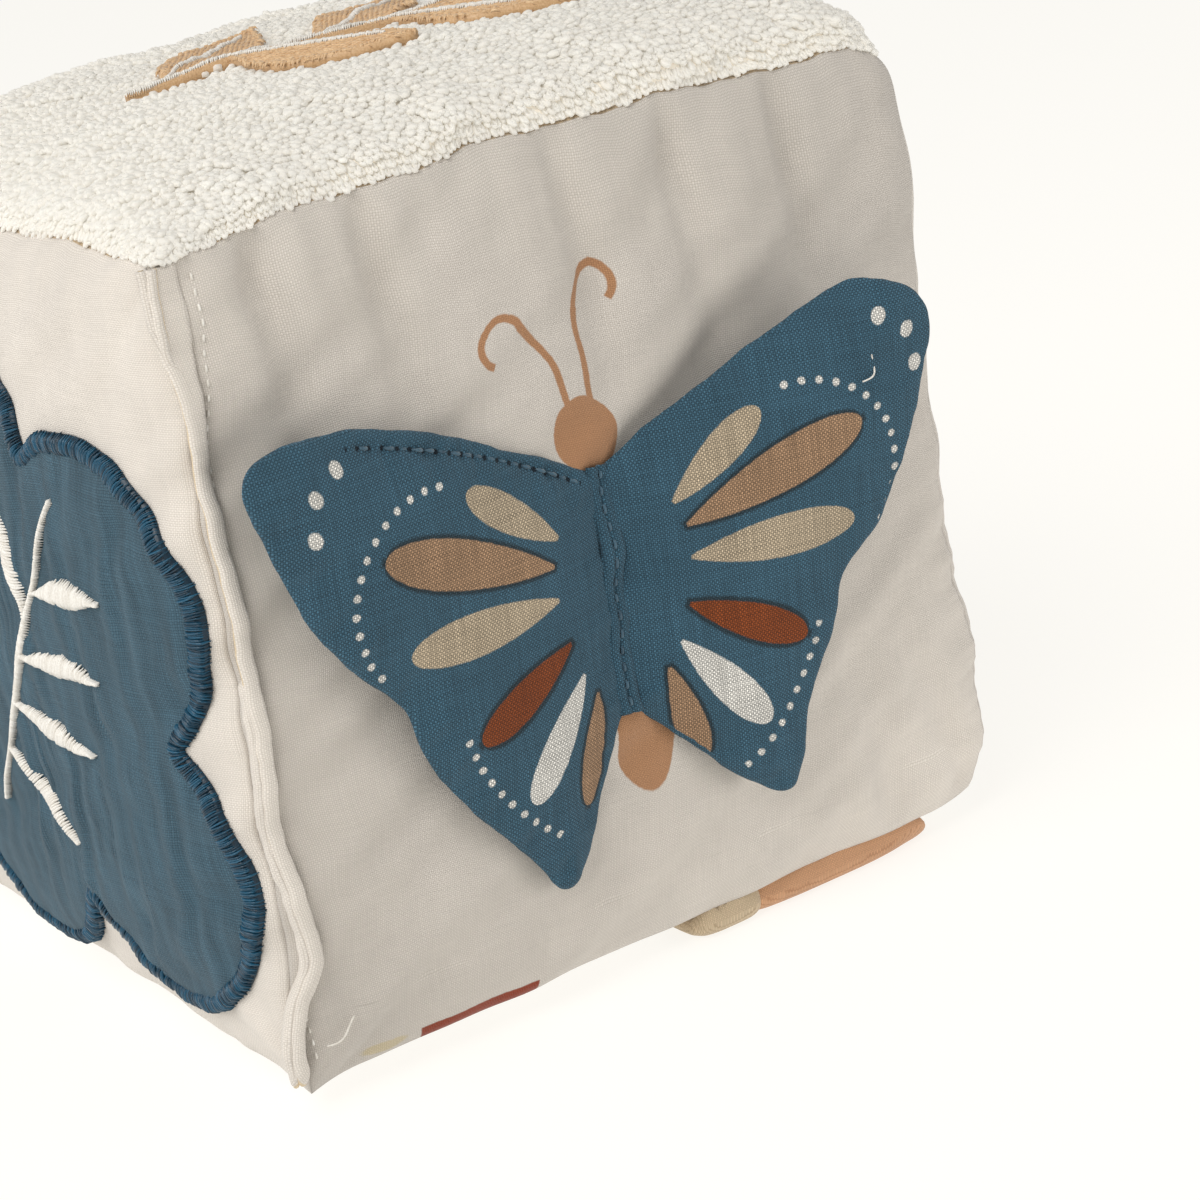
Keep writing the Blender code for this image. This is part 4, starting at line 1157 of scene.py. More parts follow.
class Cover:
    """The six sewn panels, the stuffing under them and the terry pile."""

    FRONT_VALLEYS = (-0.80, -0.53, -0.02, 0.28, 0.60)

    def __init__(self, size: BlockSize) -> None:
        """Lay out the panels."""
        self.size = size
        w, d, h = size.width / 2, size.depth / 2, size.height / 2
        shared = {"count": 52, "excess": 0.03}
        gathers = {"top": self.front_gathers(), **self.seam_gathers(11, ("bottom", "left", "right"))}
        gathers["bottom"] += [Gather(0.76, 0.0034, 0.046, -0.0015, -0.20), Gather(0.97, 0.0022, 0.036, -0.0012, -0.34),
                              Gather(0.66, 0.0030, 0.040, 0.0009, -0.20)]
        self.front = Panel("front_panel", (1, 0, 0), (0, 0, 1), (w, h, d), 0.0042, 84, excess=0.09, covered=True,
                           gathers=gathers)
        self.back = Panel("back_panel", (-1, 0, 0), (0, 0, 1), (w, h, d), 0.0050, **shared,
                          gathers=self.seam_gathers(12))
        self.left = Panel("left_panel", (0, -1, 0), (0, 0, 1), (d, h, w), 0.0055, 64, excess=0.04,
                          gathers=self.seam_gathers(13))
        self.right = Panel("right_panel", (0, 1, 0), (0, 0, 1), (d, h, w), 0.0060, **shared,
                           gathers=self.seam_gathers(14))
        self.top = Panel("top_terry_panel", (1, 0, 0), (0, 1, 0), (w, d, h), 0.0138, 56, lean=0.28, excess=0.0,
                         gathers=self.seam_gathers(15, rise=0.0004))
        self.bottom = Panel("bottom_panel", (1, 0, 0), (0, -1, 0), (w, d, h), 0.0050, 44, fullness=1, pressed=0.85,
                            excess=0.0)
        self.panels = (self.front, self.back, self.left, self.right, self.top, self.bottom)

    @classmethod
    def front_gathers(cls) -> list[Gather]:
        """Return the folds under the terry seam of the front, with the photo's valleys left low."""
        rng = np.random.default_rng(21)
        folds = [Gather(share, 0.0022, 0.026 + 0.010 * rng.random(), -0.0030, 0.10) for share in cls.FRONT_VALLEYS]
        for share in np.linspace(-0.93, 0.93, 17):
            share = share + rng.uniform(-0.03, 0.03)
            folds.append(Gather(share, rng.uniform(0.0018, 0.0032), rng.uniform(0.008, 0.024),
                                rng.uniform(0.0003, 0.0012), rng.uniform(-0.1, 0.15)))
        return folds

    @staticmethod
    def seam_gathers(seed: int, sides: Sequence[str] = ("top", "bottom", "left", "right"),
                     rise: float = 0.0008) -> dict[str, list[Gather]]:
        """Return small folds along the named seams."""
        rng = np.random.default_rng(seed)
        folds = {}
        for side in sides:
            folds[side] = [Gather(share + rng.uniform(-0.04, 0.04), rng.uniform(0.0014, 0.0028),
                                  rng.uniform(0.004, 0.012), rng.uniform(-rise, rise), rng.uniform(-0.15, 0.15))
                           for share in np.linspace(-0.92, 0.92, 20)]
        return folds

    def drape(self) -> None:
        """Let the cloth of all panels settle between its seams."""
        starts, rests, faces, pinned, first = [], [], [], [], 0
        for panel in self.panels:
            start, rest = panel.start()
            side = len(panel.lines)
            rim = np.zeros((side, side), dtype=bool)
            rim[[0, -1], :] = rim[:, [0, -1]] = True
            starts.append(start.reshape(-1, 3))
            rests.append(rest.reshape(-1, 3))
            faces.append(Mesher.grid_faces(side, side, first))
            pinned.append(np.flatnonzero(rim.ravel()) + first)
            first += side * side
        points = ClothSimulation().run(np.concatenate(starts), np.concatenate(rests),
                                       np.concatenate(faces), np.concatenate(pinned))
        first = 0
        for panel in self.panels:
            count = len(panel.lines) ** 2
            panel.take(points[first:first + count])
            first += count
        LOG.info("cover cloth has settled")

    def build(self, front_prints: Sequence[Ink]) -> None:
        """Make the panels' cloth and the stuffing."""
        plain = COTTON.material("cotton")
        # The front and the left panel get a painted seam shadow and stitch line at their top seams.
        printed = FRONT_COTTON.material("printed_cotton", [*front_prints, self.seam_shadow_and_stitch_line(self.front)])
        sides = COTTON.material("side_cotton", [self.seam_shadow_and_stitch_line(self.left)])
        for panel in self.panels:
            if panel is self.top:
                continue
            material = printed if panel is self.front else sides if panel is self.left else plain
            piece = panel.sheet(panel.name.replace("panel", "cloth"), material, 0.0005)
            self.declare(piece, panel)
        ground = self.top.sheet("terry_ground", TERRY_GROUND.material("terry_ground"), 0.0007,
                                sunk=TerryPile.DEPTH)
        self.declare(ground, self.top)
        self.stuffing()

    @staticmethod
    def seam_shadow_and_stitch_line(panel: Panel) -> Ink:
        """Return the thin darker line at a panel's top seam: a painted shadow of the seam together with the colour of
        its stitches.
        """
        return Ink(Oval((0.0, float(panel.run(np.array(1.0), panel.half_height))), (1.0, 0.0005)), (196, 172, 138))

    @staticmethod
    def declare(piece: bpy.types.Object, panel: Panel) -> None:
        """Tie a panel's cloth to the frame."""
        slot = Slot.TERRY if panel.name.startswith("top") else Slot.COTTON
        settle(piece, "block", slot, panel.name)

    def stuffing(self) -> None:
        """Make the hidden stuffing, a little smaller than the cover."""
        steps = 14
        shares = np.sin(np.linspace(-1, 1, steps + 1) * math.pi / 2)
        points, faces = [], []
        for panel in self.panels:
            x, y = np.meshgrid(shares * (panel.half_width - 0.004), shares * (panel.half_height - 0.004))
            swell = np.minimum(panel.swell(x, y), panel.crown * 0.85)
            grid = panel.world(x, y, swell - 0.004)
            faces.append(Mesher.grid_faces(steps + 1, steps + 1, len(points) * (steps + 1) ** 2))
            points.append(grid.reshape(-1, 3))
        piece = Mesher.build("stuffing", np.concatenate(points), np.concatenate(faces).tolist(),
                             STUFFING.material("stuffing"))
        close_seams(piece)
        settle(piece, "block", Slot.STUFFING, "fibre_filling")


def close_seams(piece: bpy.types.Object, distance: float = 0.0002) -> None:
    """Join points of a mesh that lie at one place."""

    mesh = bmesh.new()
    mesh.from_mesh(piece.data)
    bmesh.ops.remove_doubles(mesh, verts=mesh.verts, dist=distance)
    bmesh.ops.recalc_face_normals(mesh, faces=mesh.faces)
    mesh.to_mesh(piece.data)
    mesh.free()


class TerryPile:
    """The looped pile of the top, whose loops lean towards the seams like scales."""

    DEPTH = 0.0009
    INSET = 0.0017
    STRIPS = 8

    def __init__(self, panel: Panel, bare: Sequence[Array], pitch: Place = (0.00092, 0.00100)) -> None:
        """Take the panel and the outlines of what is embroidered on it."""
        self.panel, self.bare, self.pitch = panel, bare, pitch

    def flat_places(self, rng: np.random.Generator) -> Array:
        """Return the loops' flat places, at even distances on the swollen cloth up to the seams."""
        panel = self.panel
        half = np.array((panel.half_width, panel.half_height))
        marks = [panel.even_shares(reach, step, self.INSET) * reach for reach, step in zip(half, self.pitch)]
        x, y = np.meshgrid(*marks)
        x[1::2, :-1] = (x[1::2, :-1] + x[1::2, 1:]) / 2
        flat = np.stack((x.ravel(), y.ravel()), -1)
        loose = 0.00018 * np.clip((1 - np.abs(flat / half).max(1)) / 0.03, 0.15, 1)
        flat = np.clip(flat + rng.normal(0, 1, flat.shape) * loose[:, None], -half * 0.9995, half * 0.9995)
        for outline in self.bare:
            flat = flat[~is_inside(flat, outline)]
        return flat

    def build(self) -> None:
        """Make the loops in strips across the top."""
        rng = np.random.default_rng(31)
        panel = self.panel
        flat = self.flat_places(rng)
        places, normals = panel.at(flat[:, 0], flat[:, 1], -self.DEPTH * panel.inside_share(*flat.T))
        share = flat / (panel.half_width, panel.half_height)
        lean = np.stack((share[:, 0] ** 3 + 0.20 * smooth_waves(flat[:, 0] + flat[:, 1] * 0.4, 0.034, 7),
                         share[:, 1] ** 3 - 0.45 + 0.15 * smooth_waves(flat[:, 1] - flat[:, 0] * 0.3, 0.041, 9),
                         np.full(len(flat), -0.80)), -1)
        lean = unit(lean - normals * (lean * normals).sum(1)[:, None])
        heading = unit(np.cross(normals, lean) + rng.normal(0, 0.15, (len(flat), 3)))
        facing = unit(normals * 0.50 + lean + rng.normal(0, 0.12, (len(flat), 3)))
        near_seam = np.clip((np.abs(share).max(1) - 0.85) / 0.12, 0, 1)[:, None]
        size = 0.00160 * rng.normal(1, 0.12, (len(flat), 1)).clip(0.7, 1.35) * np.array((0.84, 1.0, 1.05))
        at_seam = np.clip((np.abs(share).max(1) - 0.95) / 0.05, 0, 1)[:, None]
        size = size * (0.97 + 0.10 * near_seam - 0.38 * at_seam)
        material = TERRY_YARN.material("terry_yarn")
        for number, part in enumerate(np.array_split(np.argsort(flat[:, 1]), self.STRIPS), start=1):
            threads = Threads.empty()
            threads.add(places[part], heading[part], facing[part], size[part])
            piece = threads.piece(f"terry_loops_{number}", PILE_LOOP, material, seed=number)
            settle(piece, "block", Slot.TERRY)


class Sprig:
    """The leaf sprig embroidered on the terry."""

    LENGTH = 0.0800
    STEM_WIDTH = 0.0026
    LEAF_WIDTH = 0.0150
    VEIN_WIDTH = 0.0011
    STEM = ((-0.50, 0.0), (0.40, 0.0))
    LEAVES = (((-0.42, 0.0), (-0.17, 0.28)), ((-0.30, 0.0), (-0.03, -0.27)), ((-0.11, 0.0), (0.15, 0.29)),
              ((0.02, 0.0), (0.29, -0.26)), ((0.22, 0.0), (0.52, 0.20)))

    def __init__(self, panel: Panel) -> None:
        """Place the leaves on the top."""
        self.panel = panel
        turn = math.radians(-12)
        spin = np.array(((math.cos(turn), -math.sin(turn)), (math.sin(turn), math.cos(turn))))
        centre = np.array((0.08, -0.18)) * panel.half_width

        def placed(share: Place) -> Array:
            return centre + spin @ np.array(share) * self.LENGTH

        self.stem = Leaf(placed(self.STEM[0]), placed(self.STEM[1]), self.STEM_WIDTH)
        self.leaves = [Leaf(placed(base), placed(tip), self.LEAF_WIDTH) for base, tip in self.LEAVES]

    @property
    def outlines(self) -> list[Array]:
        """Rims of the stem and the leaves."""
        return [leaf.outline() for leaf in (self.stem, *self.leaves)]

    def build(self) -> None:
        """Stitch the leaves, the stem and the veins."""
        rng = np.random.default_rng(41)
        material = TAN_THREAD.material("tan_thread")
        threads = Threads.empty()
        height = 0.0009
        for number, leaf in enumerate(self.leaves):
            first, last = leaf.fill_stitches(0.00036, 0.0014, rng, 0.2 if number % 2 else -0.2)
            self.lay(threads, first, last, height, 0.00042, 0.00042, rng)
            first, last = leaf.across_stitches(0.0004, rng, 0.2)
            base, along, aside, length = leaf.axis
            for side, ends in ((-1, first), (1, last)):
                inner = ends - side * aside * 0.0011 + along * 0.0003
                self.lay(threads, inner, ends, height + 0.00005, 0.00040, 0.00042, rng)
        first, last = self.stem.across_stitches(0.00036, rng)
        self.lay(threads, first, last, height, 0.00042, 0.0005, rng)
        stitches = threads.piece("top_sprig_stitches", SHORT_STITCH, material, 5)
        bases = [pad_on(self.panel, "top_sprig_base", leaf.outline(), -0.0008, height, material, 0.0014)
                 for leaf in (self.stem, *self.leaves)]
        settle(joined([stitches, *bases]), "block", Slot.TAN_THREAD, "top_sprig_embroidery")
        veins = Threads.empty()
        for leaf in (self.stem, *self.leaves):
            base, tip = np.array(leaf.base), np.array(leaf.tip)
            vein = Leaf(base, tip + (base - tip) * 0.14, self.VEIN_WIDTH)
            first, last = vein.across_stitches(0.00034, rng, 0.6)
            self.lay(veins, first, last, height + 0.0004, 0.00040, 0.0005, rng)
        piece = veins.piece("top_vein_stitches", SHORT_STITCH, WHITE_THREAD.material("white_vein_thread"), 6)
        settle(piece, "block", Slot.WHITE_THREAD, "top_vein_embroidery")

    def lay(self, threads: Threads, first: Array, last: Array, height: float, width: float, thick: float,
            rng: np.random.Generator) -> None:
        """Add stitches between flat places, at a height over the panel."""
        uneven_height = height + rng.normal(0, 0.00005, len(first))
        start, up = self.panel.at(first[:, 0], first[:, 1], uneven_height)
        end, _ = self.panel.at(last[:, 0], last[:, 1], uneven_height)
        threads.between(start, end, up, width, thick)


def pad_on(panel: Panel, name: str, outline: Array, low: float, high: float, material: bpy.types.Material,
           spacing: float = 0.0014) -> bpy.types.Object:
    """Make a thin closed pad on a panel.

    Args:
        panel: The panel that it lies on.
        name: The piece's name.
        outline: Its flat rim, counterclockwise.
        low: Height of its underside over the panel.
        high: Height of its top.
        material: The finish.
        spacing: Distance between the points.

    Returns:
        The new object.
    """
    flat, faces, rim = flat_mesh(outline, spacing)
    count = len(flat)
    top = panel.at(flat[:, 0], flat[:, 1], high)[0]
    bottom = panel.at(flat[:, 0], flat[:, 1], low)[0]
    points = np.concatenate((top, bottom))
    sides = [(a, a + count, b + count, b) for a, b in zip(rim, np.roll(rim, -1))]
    all_faces = faces.tolist() + (faces[:, ::-1] + count).tolist() + [list(side) for side in sides]
    piece = Mesher.build(name, points, all_faces, material)
    close_seams(piece, 1e-7)
    return piece


def flat_mesh(outline: Array, spacing: float, rings: Sequence[float] = ()) -> tuple[Array, Array, Array]:
    """Fill a closed outline with even triangles.

    Args:
        outline: The rim, counterclockwise.
        spacing: Distance between the points.
        rings: Distances from the rim at which rows of points follow it.

    Returns:
        The flat points, the faces and the numbers of the rim's points.
    """
    rim = spaced(outline, spacing)
    inward = -outward(rim)
    parts = [rim]
    for ring in rings:
        row = rim + inward * ring
        parts.append(row[is_inside(row, rim) & (rim_distance(row, rim) > ring * 0.9)])
    low, high = rim.min(0), rim.max(0)
    x, y = np.meshgrid(np.arange(low[0], high[0], spacing), np.arange(low[1], high[1], spacing * 0.87))
    x = x + (np.arange(x.shape[0]) % 2)[:, None] * spacing / 2
    inner = np.stack((x.ravel(), y.ravel()), -1)
    inner = inner[is_inside(inner, rim)]
    gap = (max(rings) if rings else 0) + spacing * 0.55
    parts.append(inner[rim_distance(inner, rim) > gap])
    points = np.concatenate(parts)
    count = len(rim)
    edges = [(i, (i + 1) % count) for i in range(count)]
    corners, _, triangles, *_ = delaunay_2d_cdt([Vector(point) for point in points], edges, [], 1, 1e-7)
    flat = np.array([tuple(point) for point in corners])
    return flat, np.array([tuple(face) for face in triangles]), np.arange(count)


class Flower:
    """The flower patch of the left face, its satin border and its embroidery."""

    RADIUS = 0.0560
    CENTRE = (0.11, -0.13)
    PETALS = ((0.62, 0.175, 0.425), (0.61, -0.505, 0.44), (-0.15, -0.57, 0.42), (-0.555, -0.045, 0.39),
              (-0.03, 0.45, 0.41))
    SATIN_WIDTH = 0.0029
    STEM = ((-0.20, -0.55), (0.52, 0.42))
    LEAVES = (((0.06, -0.20), (0.47, -0.28)), ((0.18, -0.04), (0.60, -0.04)), ((0.31, 0.14), (0.69, 0.20)),
              ((-0.06, -0.36), (0.27, -0.56)), ((0.25, 0.06), (0.12, 0.44)))
    SEEDS = (((-0.07, 0.02), 60), ((0.02, 0.26), 100), ((-0.22, -0.22), 30))

    def __init__(self, panel: Panel) -> None:
        """Take the panel that the flower is sewn to."""
        self.panel = panel

    def radius(self, angles: Array) -> Array:
        """Return the distance from the flower's middle to its rim in each direction."""
        farthest = np.zeros_like(angles)
        for x, y, size in self.PETALS:
            offset = np.array((x, y)) - self.CENTRE
            reach = float(np.linalg.norm(offset))
            turn = angles - math.atan2(offset[1], offset[0])
            aside = reach * np.sin(turn)
            chord = np.sqrt(np.maximum(size**2 - aside**2, 0))
            farthest = np.maximum(farthest, np.where(np.abs(aside) < size, reach * np.cos(turn) + chord, 0))
        return farthest * self.RADIUS

    def rim(self, count: int = 720) -> Array:
        """Return the scalloped rim, counterclockwise."""
        angles = np.arange(count) * math.tau / count
        spokes = np.stack((np.cos(angles), np.sin(angles)), -1)
        return np.array(self.CENTRE) * self.RADIUS + spokes * self.radius(angles)[:, None]

    def wrinkles(self, flat: Array) -> Array:
        """Return the height of the soft upright wrinkles of the patch."""
        x, y = flat[:, 0], flat[:, 1]
        bend = x + 0.0024 * np.sin(y * 110 + 1.0)
        waves = smooth_waves(bend, 0.0085, 51, 4)
        fade = 0.5 + 0.5 * np.sin(y * 150 + smooth_waves(x, 0.02, 52) * 2)
        return 0.00040 * waves * (0.3 + 0.7 * fade)

    def build(self) -> None:
        """Make the patch, the border and the embroidery."""
        angles, rings = 240, 46
        rim = self.rim(angles)
        centre = np.array(self.CENTRE) * self.RADIUS
        shares = np.linspace(0.02, 1, rings)
        flat = (centre + (rim - centre)[None] * (1 - 0.0014 / 0.05) * shares[:, None, None]).reshape(-1, 2)
        edge = np.repeat(1 - shares, angles)
        height = 0.0010 + self.wrinkles(flat) * np.clip(edge * 12, 0.2, 1) + 0.0004 * np.clip(edge * 6, 0, 1)
        flat = np.concatenate((flat, [centre]))
        points = self.panel.at(flat[:, 0], flat[:, 1], np.append(height, height[0]))[0]
        faces = Mesher.grid_faces(rings, angles, closed=True)[:, ::-1].tolist()
        last = len(points) - 1
        faces += [[last, i, (i + 1) % angles] for i in range(angles)]
        patch = Mesher.build("flower_patch_cloth", points, faces, SLATE.material("slate_cotton"), flat)
        Mesher.thicken(patch, 0.0004)
        settle(patch, "block", Slot.SLATE_COTTON, "flower_patch")
        self.border()
        self.sprig()

    def border(self) -> None:
        """Make the satin border: a rounded band covered with stitches square to the rim."""
        rng = np.random.default_rng(53)
        line = spaced(self.rim(), 0.00031)
        facing_out = smooth_ring(outward(line), 9)
        middle = line - facing_out * self.SATIN_WIDTH / 2
        count = len(line)
        material = TEAL_THREAD.material("teal_thread")
        half = self.SATIN_WIDTH / 2
        profile = ((half, 0.0001), (half * 0.85, 0.0008), (0, 0.0012), (-half * 0.85, 0.0010), (-half, 0.0006))
        rows = [self.panel.at(*(middle + facing_out * across).T, up)[0] for across, up in profile]
        base = Mesher.build("satin_base", np.concatenate(rows),
                            Mesher.grid_faces(len(rows), count, closed=True)[:, ::-1].tolist(), material)
        threads = Threads.empty()
        reach = half * (1 + rng.uniform(-0.12, 0.20, (2, count)))
        slant = rng.normal(0, 0.00012, count)
        along = np.stack((-facing_out[:, 1], facing_out[:, 0]), -1)
        first = middle + facing_out * reach[0][:, None] + along * slant[:, None]
        last = middle - facing_out * reach[1][:, None] - along * slant[:, None]
        rise = rng.normal(0, 0.00010, count)
        start, up = self.panel.at(first[:, 0], first[:, 1], 0.0009 + rise)
        end, _ = self.panel.at(last[:, 0], last[:, 1], 0.0013 + rise)
        threads.between(start, end, up, 0.00038, 0.00100, -0.00012)
        stitches = threads.piece("flower_satin_stitches", STITCH, material, 7)
        settle(joined([stitches, base]), "block", Slot.TEAL_THREAD, "flower_satin_border")

    def sprig(self) -> None:
        """Stitch the white sprig and the tan seeds."""
        rng = np.random.default_rng(55)
        height = 0.0021
        white = Threads.empty()
        leaves = [Leaf(np.array(self.STEM[0]) * self.RADIUS, np.array(self.STEM[1]) * self.RADIUS, 0.0014)]
        leaves += [Leaf(np.array(base) * self.RADIUS, np.array(tip) * self.RADIUS, 0.0040)
                   for base, tip in self.LEAVES]
        for leaf in leaves:
            self.lay(white, *leaf.across_stitches(0.00046, rng, 0.5), height, 0.0009)
        piece = white.piece("flower_sprig_stitches", STITCH, WHITE_THREAD.material("white_thread"), 8)
        settle(piece, "block", Slot.WHITE_THREAD, "flower_sprig_embroidery")
        material = TAN_THREAD.material("tan_seed_thread")
        for number, (place, turn) in enumerate(self.SEEDS, start=1):
            centre = np.array(place) * self.RADIUS
            along = np.array((math.cos(math.radians(turn)), math.sin(math.radians(turn))))
            seed = Leaf(centre - along * 0.0042, centre + along * 0.0042, 0.0058)
            threads = Threads.empty()
            self.lay(threads, *seed.across_stitches(0.00044, rng, 0.2), height, 0.0010)
            piece = threads.piece(f"flower_seed_stitches_{number}", STITCH, material, 8 + number)
            settle(piece, "block", Slot.TAN_THREAD, f"flower_seed_embroidery_{number}")

    def lay(self, threads: Threads, first: Array, last: Array, height: float, thick: float) -> None:
        """Add satin stitches between flat places on the patch."""
        start, up = self.panel.at(first[:, 0], first[:, 1], height - 0.0002)
        end, _ = self.panel.at(last[:, 0], last[:, 1], height - 0.0002)
        threads.between(start, end, up, 0.00052, thick)


def smooth_ring(values: Array, width: int) -> Array:
    """Return rows of a closed ring, each made the mean of its neighbours."""
    total = sum(np.roll(values, step, axis=0) for step in range(-width, width + 1))
    return unit(total)


class CornerFold:
    """The folded seam that stands out of the front left edge, its lip and its stitches."""

    LOW, TOP = 0.0066, 0.1213
    LIP_LOW = 0.0064
    SWAY = ((4, -2.3), (9, -2.5), (13.5, -2.2), (19, -0.1), (24, 2.0), (28, 2.1), (34, 1.3), (45, 0.1), (62, 0.6),
            (77, 0.3), (91, -0.5), (104, -0.4), (117, -0.8), (124, -0.9))
    LIP_SHIFT = ((4, -0.2), (60, 0.0), (68, 0.9), (104, 0.9), (109, -0.5), (113, -0.8), (118, -0.6), (124, 0.2))
    BAND = ((0.0022, -0.0004), (0.0022, 0.0003), (0.0020, 0.0008), (0.0016, 0.0010), (0.0010, 0.00105),
            (0.0004, 0.0010), (0.0001, 0.0008), (-0.0001, 0.0005), (0.0000, 0.0001), (0.0004, -0.0004))
    LIP = ((0.0008, -0.0002), (0.0004, 0.0003), (0.0000, 0.0006), (-0.0004, 0.0008), (-0.0008, 0.0007),
           (-0.0010, 0.0003), (-0.0009, -0.0002), (-0.0005, -0.0008), (0.0002, -0.0012))
    # Painted shade of the groove between the fold and its lip, a warm tan.
    GROOVE_SHADE: Colour = (226, 204, 166)

    def __init__(self, size: BlockSize, front: Panel) -> None:
        """Take the block and its front."""
        self.size, self.front = size, front
        self.edge = -size.width / 2

    @staticmethod
    def along(knots: Sequence[Place], z: Array) -> Array:
        """Return a smooth value at each height from knots in millimetres."""
        curve = curve_through(knots, 8) / 1000
        return np.interp(z, curve[:, 0], curve[:, 1])

    def front_y(self, x: Array, z: Array) -> Array:
        """Return Y just in front of the front panel."""
        place, _ = self.front.at(np.maximum(x, self.edge), z - self.size.middle[2], 0.0005)
        return place[..., 1]

    def build(self) -> None:
        """Make the fold, the lip behind it and the stitches."""
        z = np.linspace(self.LOW, self.TOP, 190)
        flap = np.clip((z - 0.094) / 0.020, 0, 1) ** 2
        end = np.clip((z - self.LOW) / 0.0026, 0, 1) ** 0.5
        wide = (0.72 + 1.4 * flap + 0.05 * smooth_waves(z, 0.013, 61, 3)) * (0.1 + 0.9 * end)
        tall = (0.85 - 0.65 * flap + 0.08 * smooth_waves(z, 0.011, 65, 3)) * end
        shift = self.along(self.SWAY, z) + 0.00012 * smooth_waves(z, 0.017, 62, 3)
        rows = self.roll(z, shift, 0.0002 - 0.0006 * flap, self.BAND, wide, tall)
        self.strip("corner_fold_cloth", rows, -1, "corner_fold")
        z = np.linspace(self.LIP_LOW, self.TOP, 190)
        shift = self.along(self.SWAY, z) + 0.00012 * smooth_waves(z, 0.017, 62, 3) + self.along(self.LIP_SHIFT, z)
        end = np.clip((z - self.LIP_LOW) / 0.0024, 0, 1) ** 0.5
        reach = (0.62 + 0.12 * smooth_waves(z, 0.012, 63, 4)) * (0.1 + 0.9 * end)
        self.strip("corner_fold_lip_cloth", self.roll(z, shift, -0.0003, self.LIP, reach, end), 0, "corner_fold_lip")
        self.stitches()

    def roll(self, z: Array, shift: Array, lift: Array | float, section: Sequence[Place], wide: Array,
             tall: Array) -> list[Array]:
        """Return the rows of a rolled cloth edge that lies on the front's border.

        Args:
            z: Heights along the edge.
            shift: How far the section lies from the edge.
            lift: How far it is lifted off the front.
            section: Places across and out of the roll.
            wide: How wide the section is at each height.
            tall: How far it stands out at each height.

        Returns:
            One row of points for each place of the section.
        """
        ledge = self.front_y(self.edge + 0.0010 + np.maximum(shift, 0), z)
        rows = []
        middle = (section[0][0] + section[-1][0]) / 2
        for across, out in section:
            x = self.edge + shift + middle * 0.7 + (across - middle) * wide
            rows.append(np.stack((x, np.minimum(ledge, self.front_y(x, z)) - lift - out * tall, z), -1))
        return rows

    def strip(self, name: str, rows: Sequence[Array], groove_edge: int, node: str) -> None:
        """Make a strip of cloth through rows of points, with painted shade of the groove along one of its long edges.
        """
        points = np.stack(rows)
        run = np.zeros(points.shape[:2])
        run[1:] = np.cumsum(np.linalg.norm(np.diff(points, axis=0), axis=-1), axis=0)
        weave = np.stack(((run[groove_edge] - run).ravel(), points[..., 2].ravel() - self.size.middle[2]), -1)
        # Painted groove shade along the strip's edge that lies in the groove.
        groove_shade_ink = Ink(Oval((0.0, 0.0), (0.0008, 1.0)), self.GROOVE_SHADE)
        piece = Mesher.build(name, points.reshape(-1, 3), Mesher.grid_faces(*points.shape[:2])[:, ::-1],
                             FOLD_COTTON.material(name, [groove_shade_ink]), weave)
        Mesher.thicken(piece, 0.00035)
        settle(piece, "block", Slot.COTTON, node)

    def stitches(self) -> None:
        """Make the small topstitches beside the fold, at its top and at its foot."""
        marks = np.concatenate((np.arange(0.0095, 0.0170, 0.0019), np.arange(0.0900, 0.1195, 0.0019)))

        def at(height: Array) -> tuple[Array, Array]:
            flap = np.clip((height - 0.094) / 0.020, 0, 1) ** 2
            x = self.edge + self.along(self.SWAY, height) + 0.0021 + 0.0028 * flap
            return self.front.at(np.maximum(x, self.edge + 0.0012), height - self.size.middle[2], 0.0002)

        start, up = at(marks)
        threads = Threads.empty()
        threads.between(start, at(marks + 0.0011)[0], up, 0.00034, 0.00040, 0.00004)
        piece = threads.piece("corner_fold_stitches", STITCH, WHITE_THREAD.material("white_fold_thread"), 12)
        settle(piece, "block", Slot.WHITE_THREAD, "corner_fold_thread")


@dataclass(frozen=True)
class WingPlan:
    """Outline, rest angle and prints of one wing. Its side is 1 to the right and -1 to the left."""

    name: str
    side: int
    rest_angle: float
    shares: tuple[Place, ...]
    inks: tuple[Ink, ...]
    seed: int


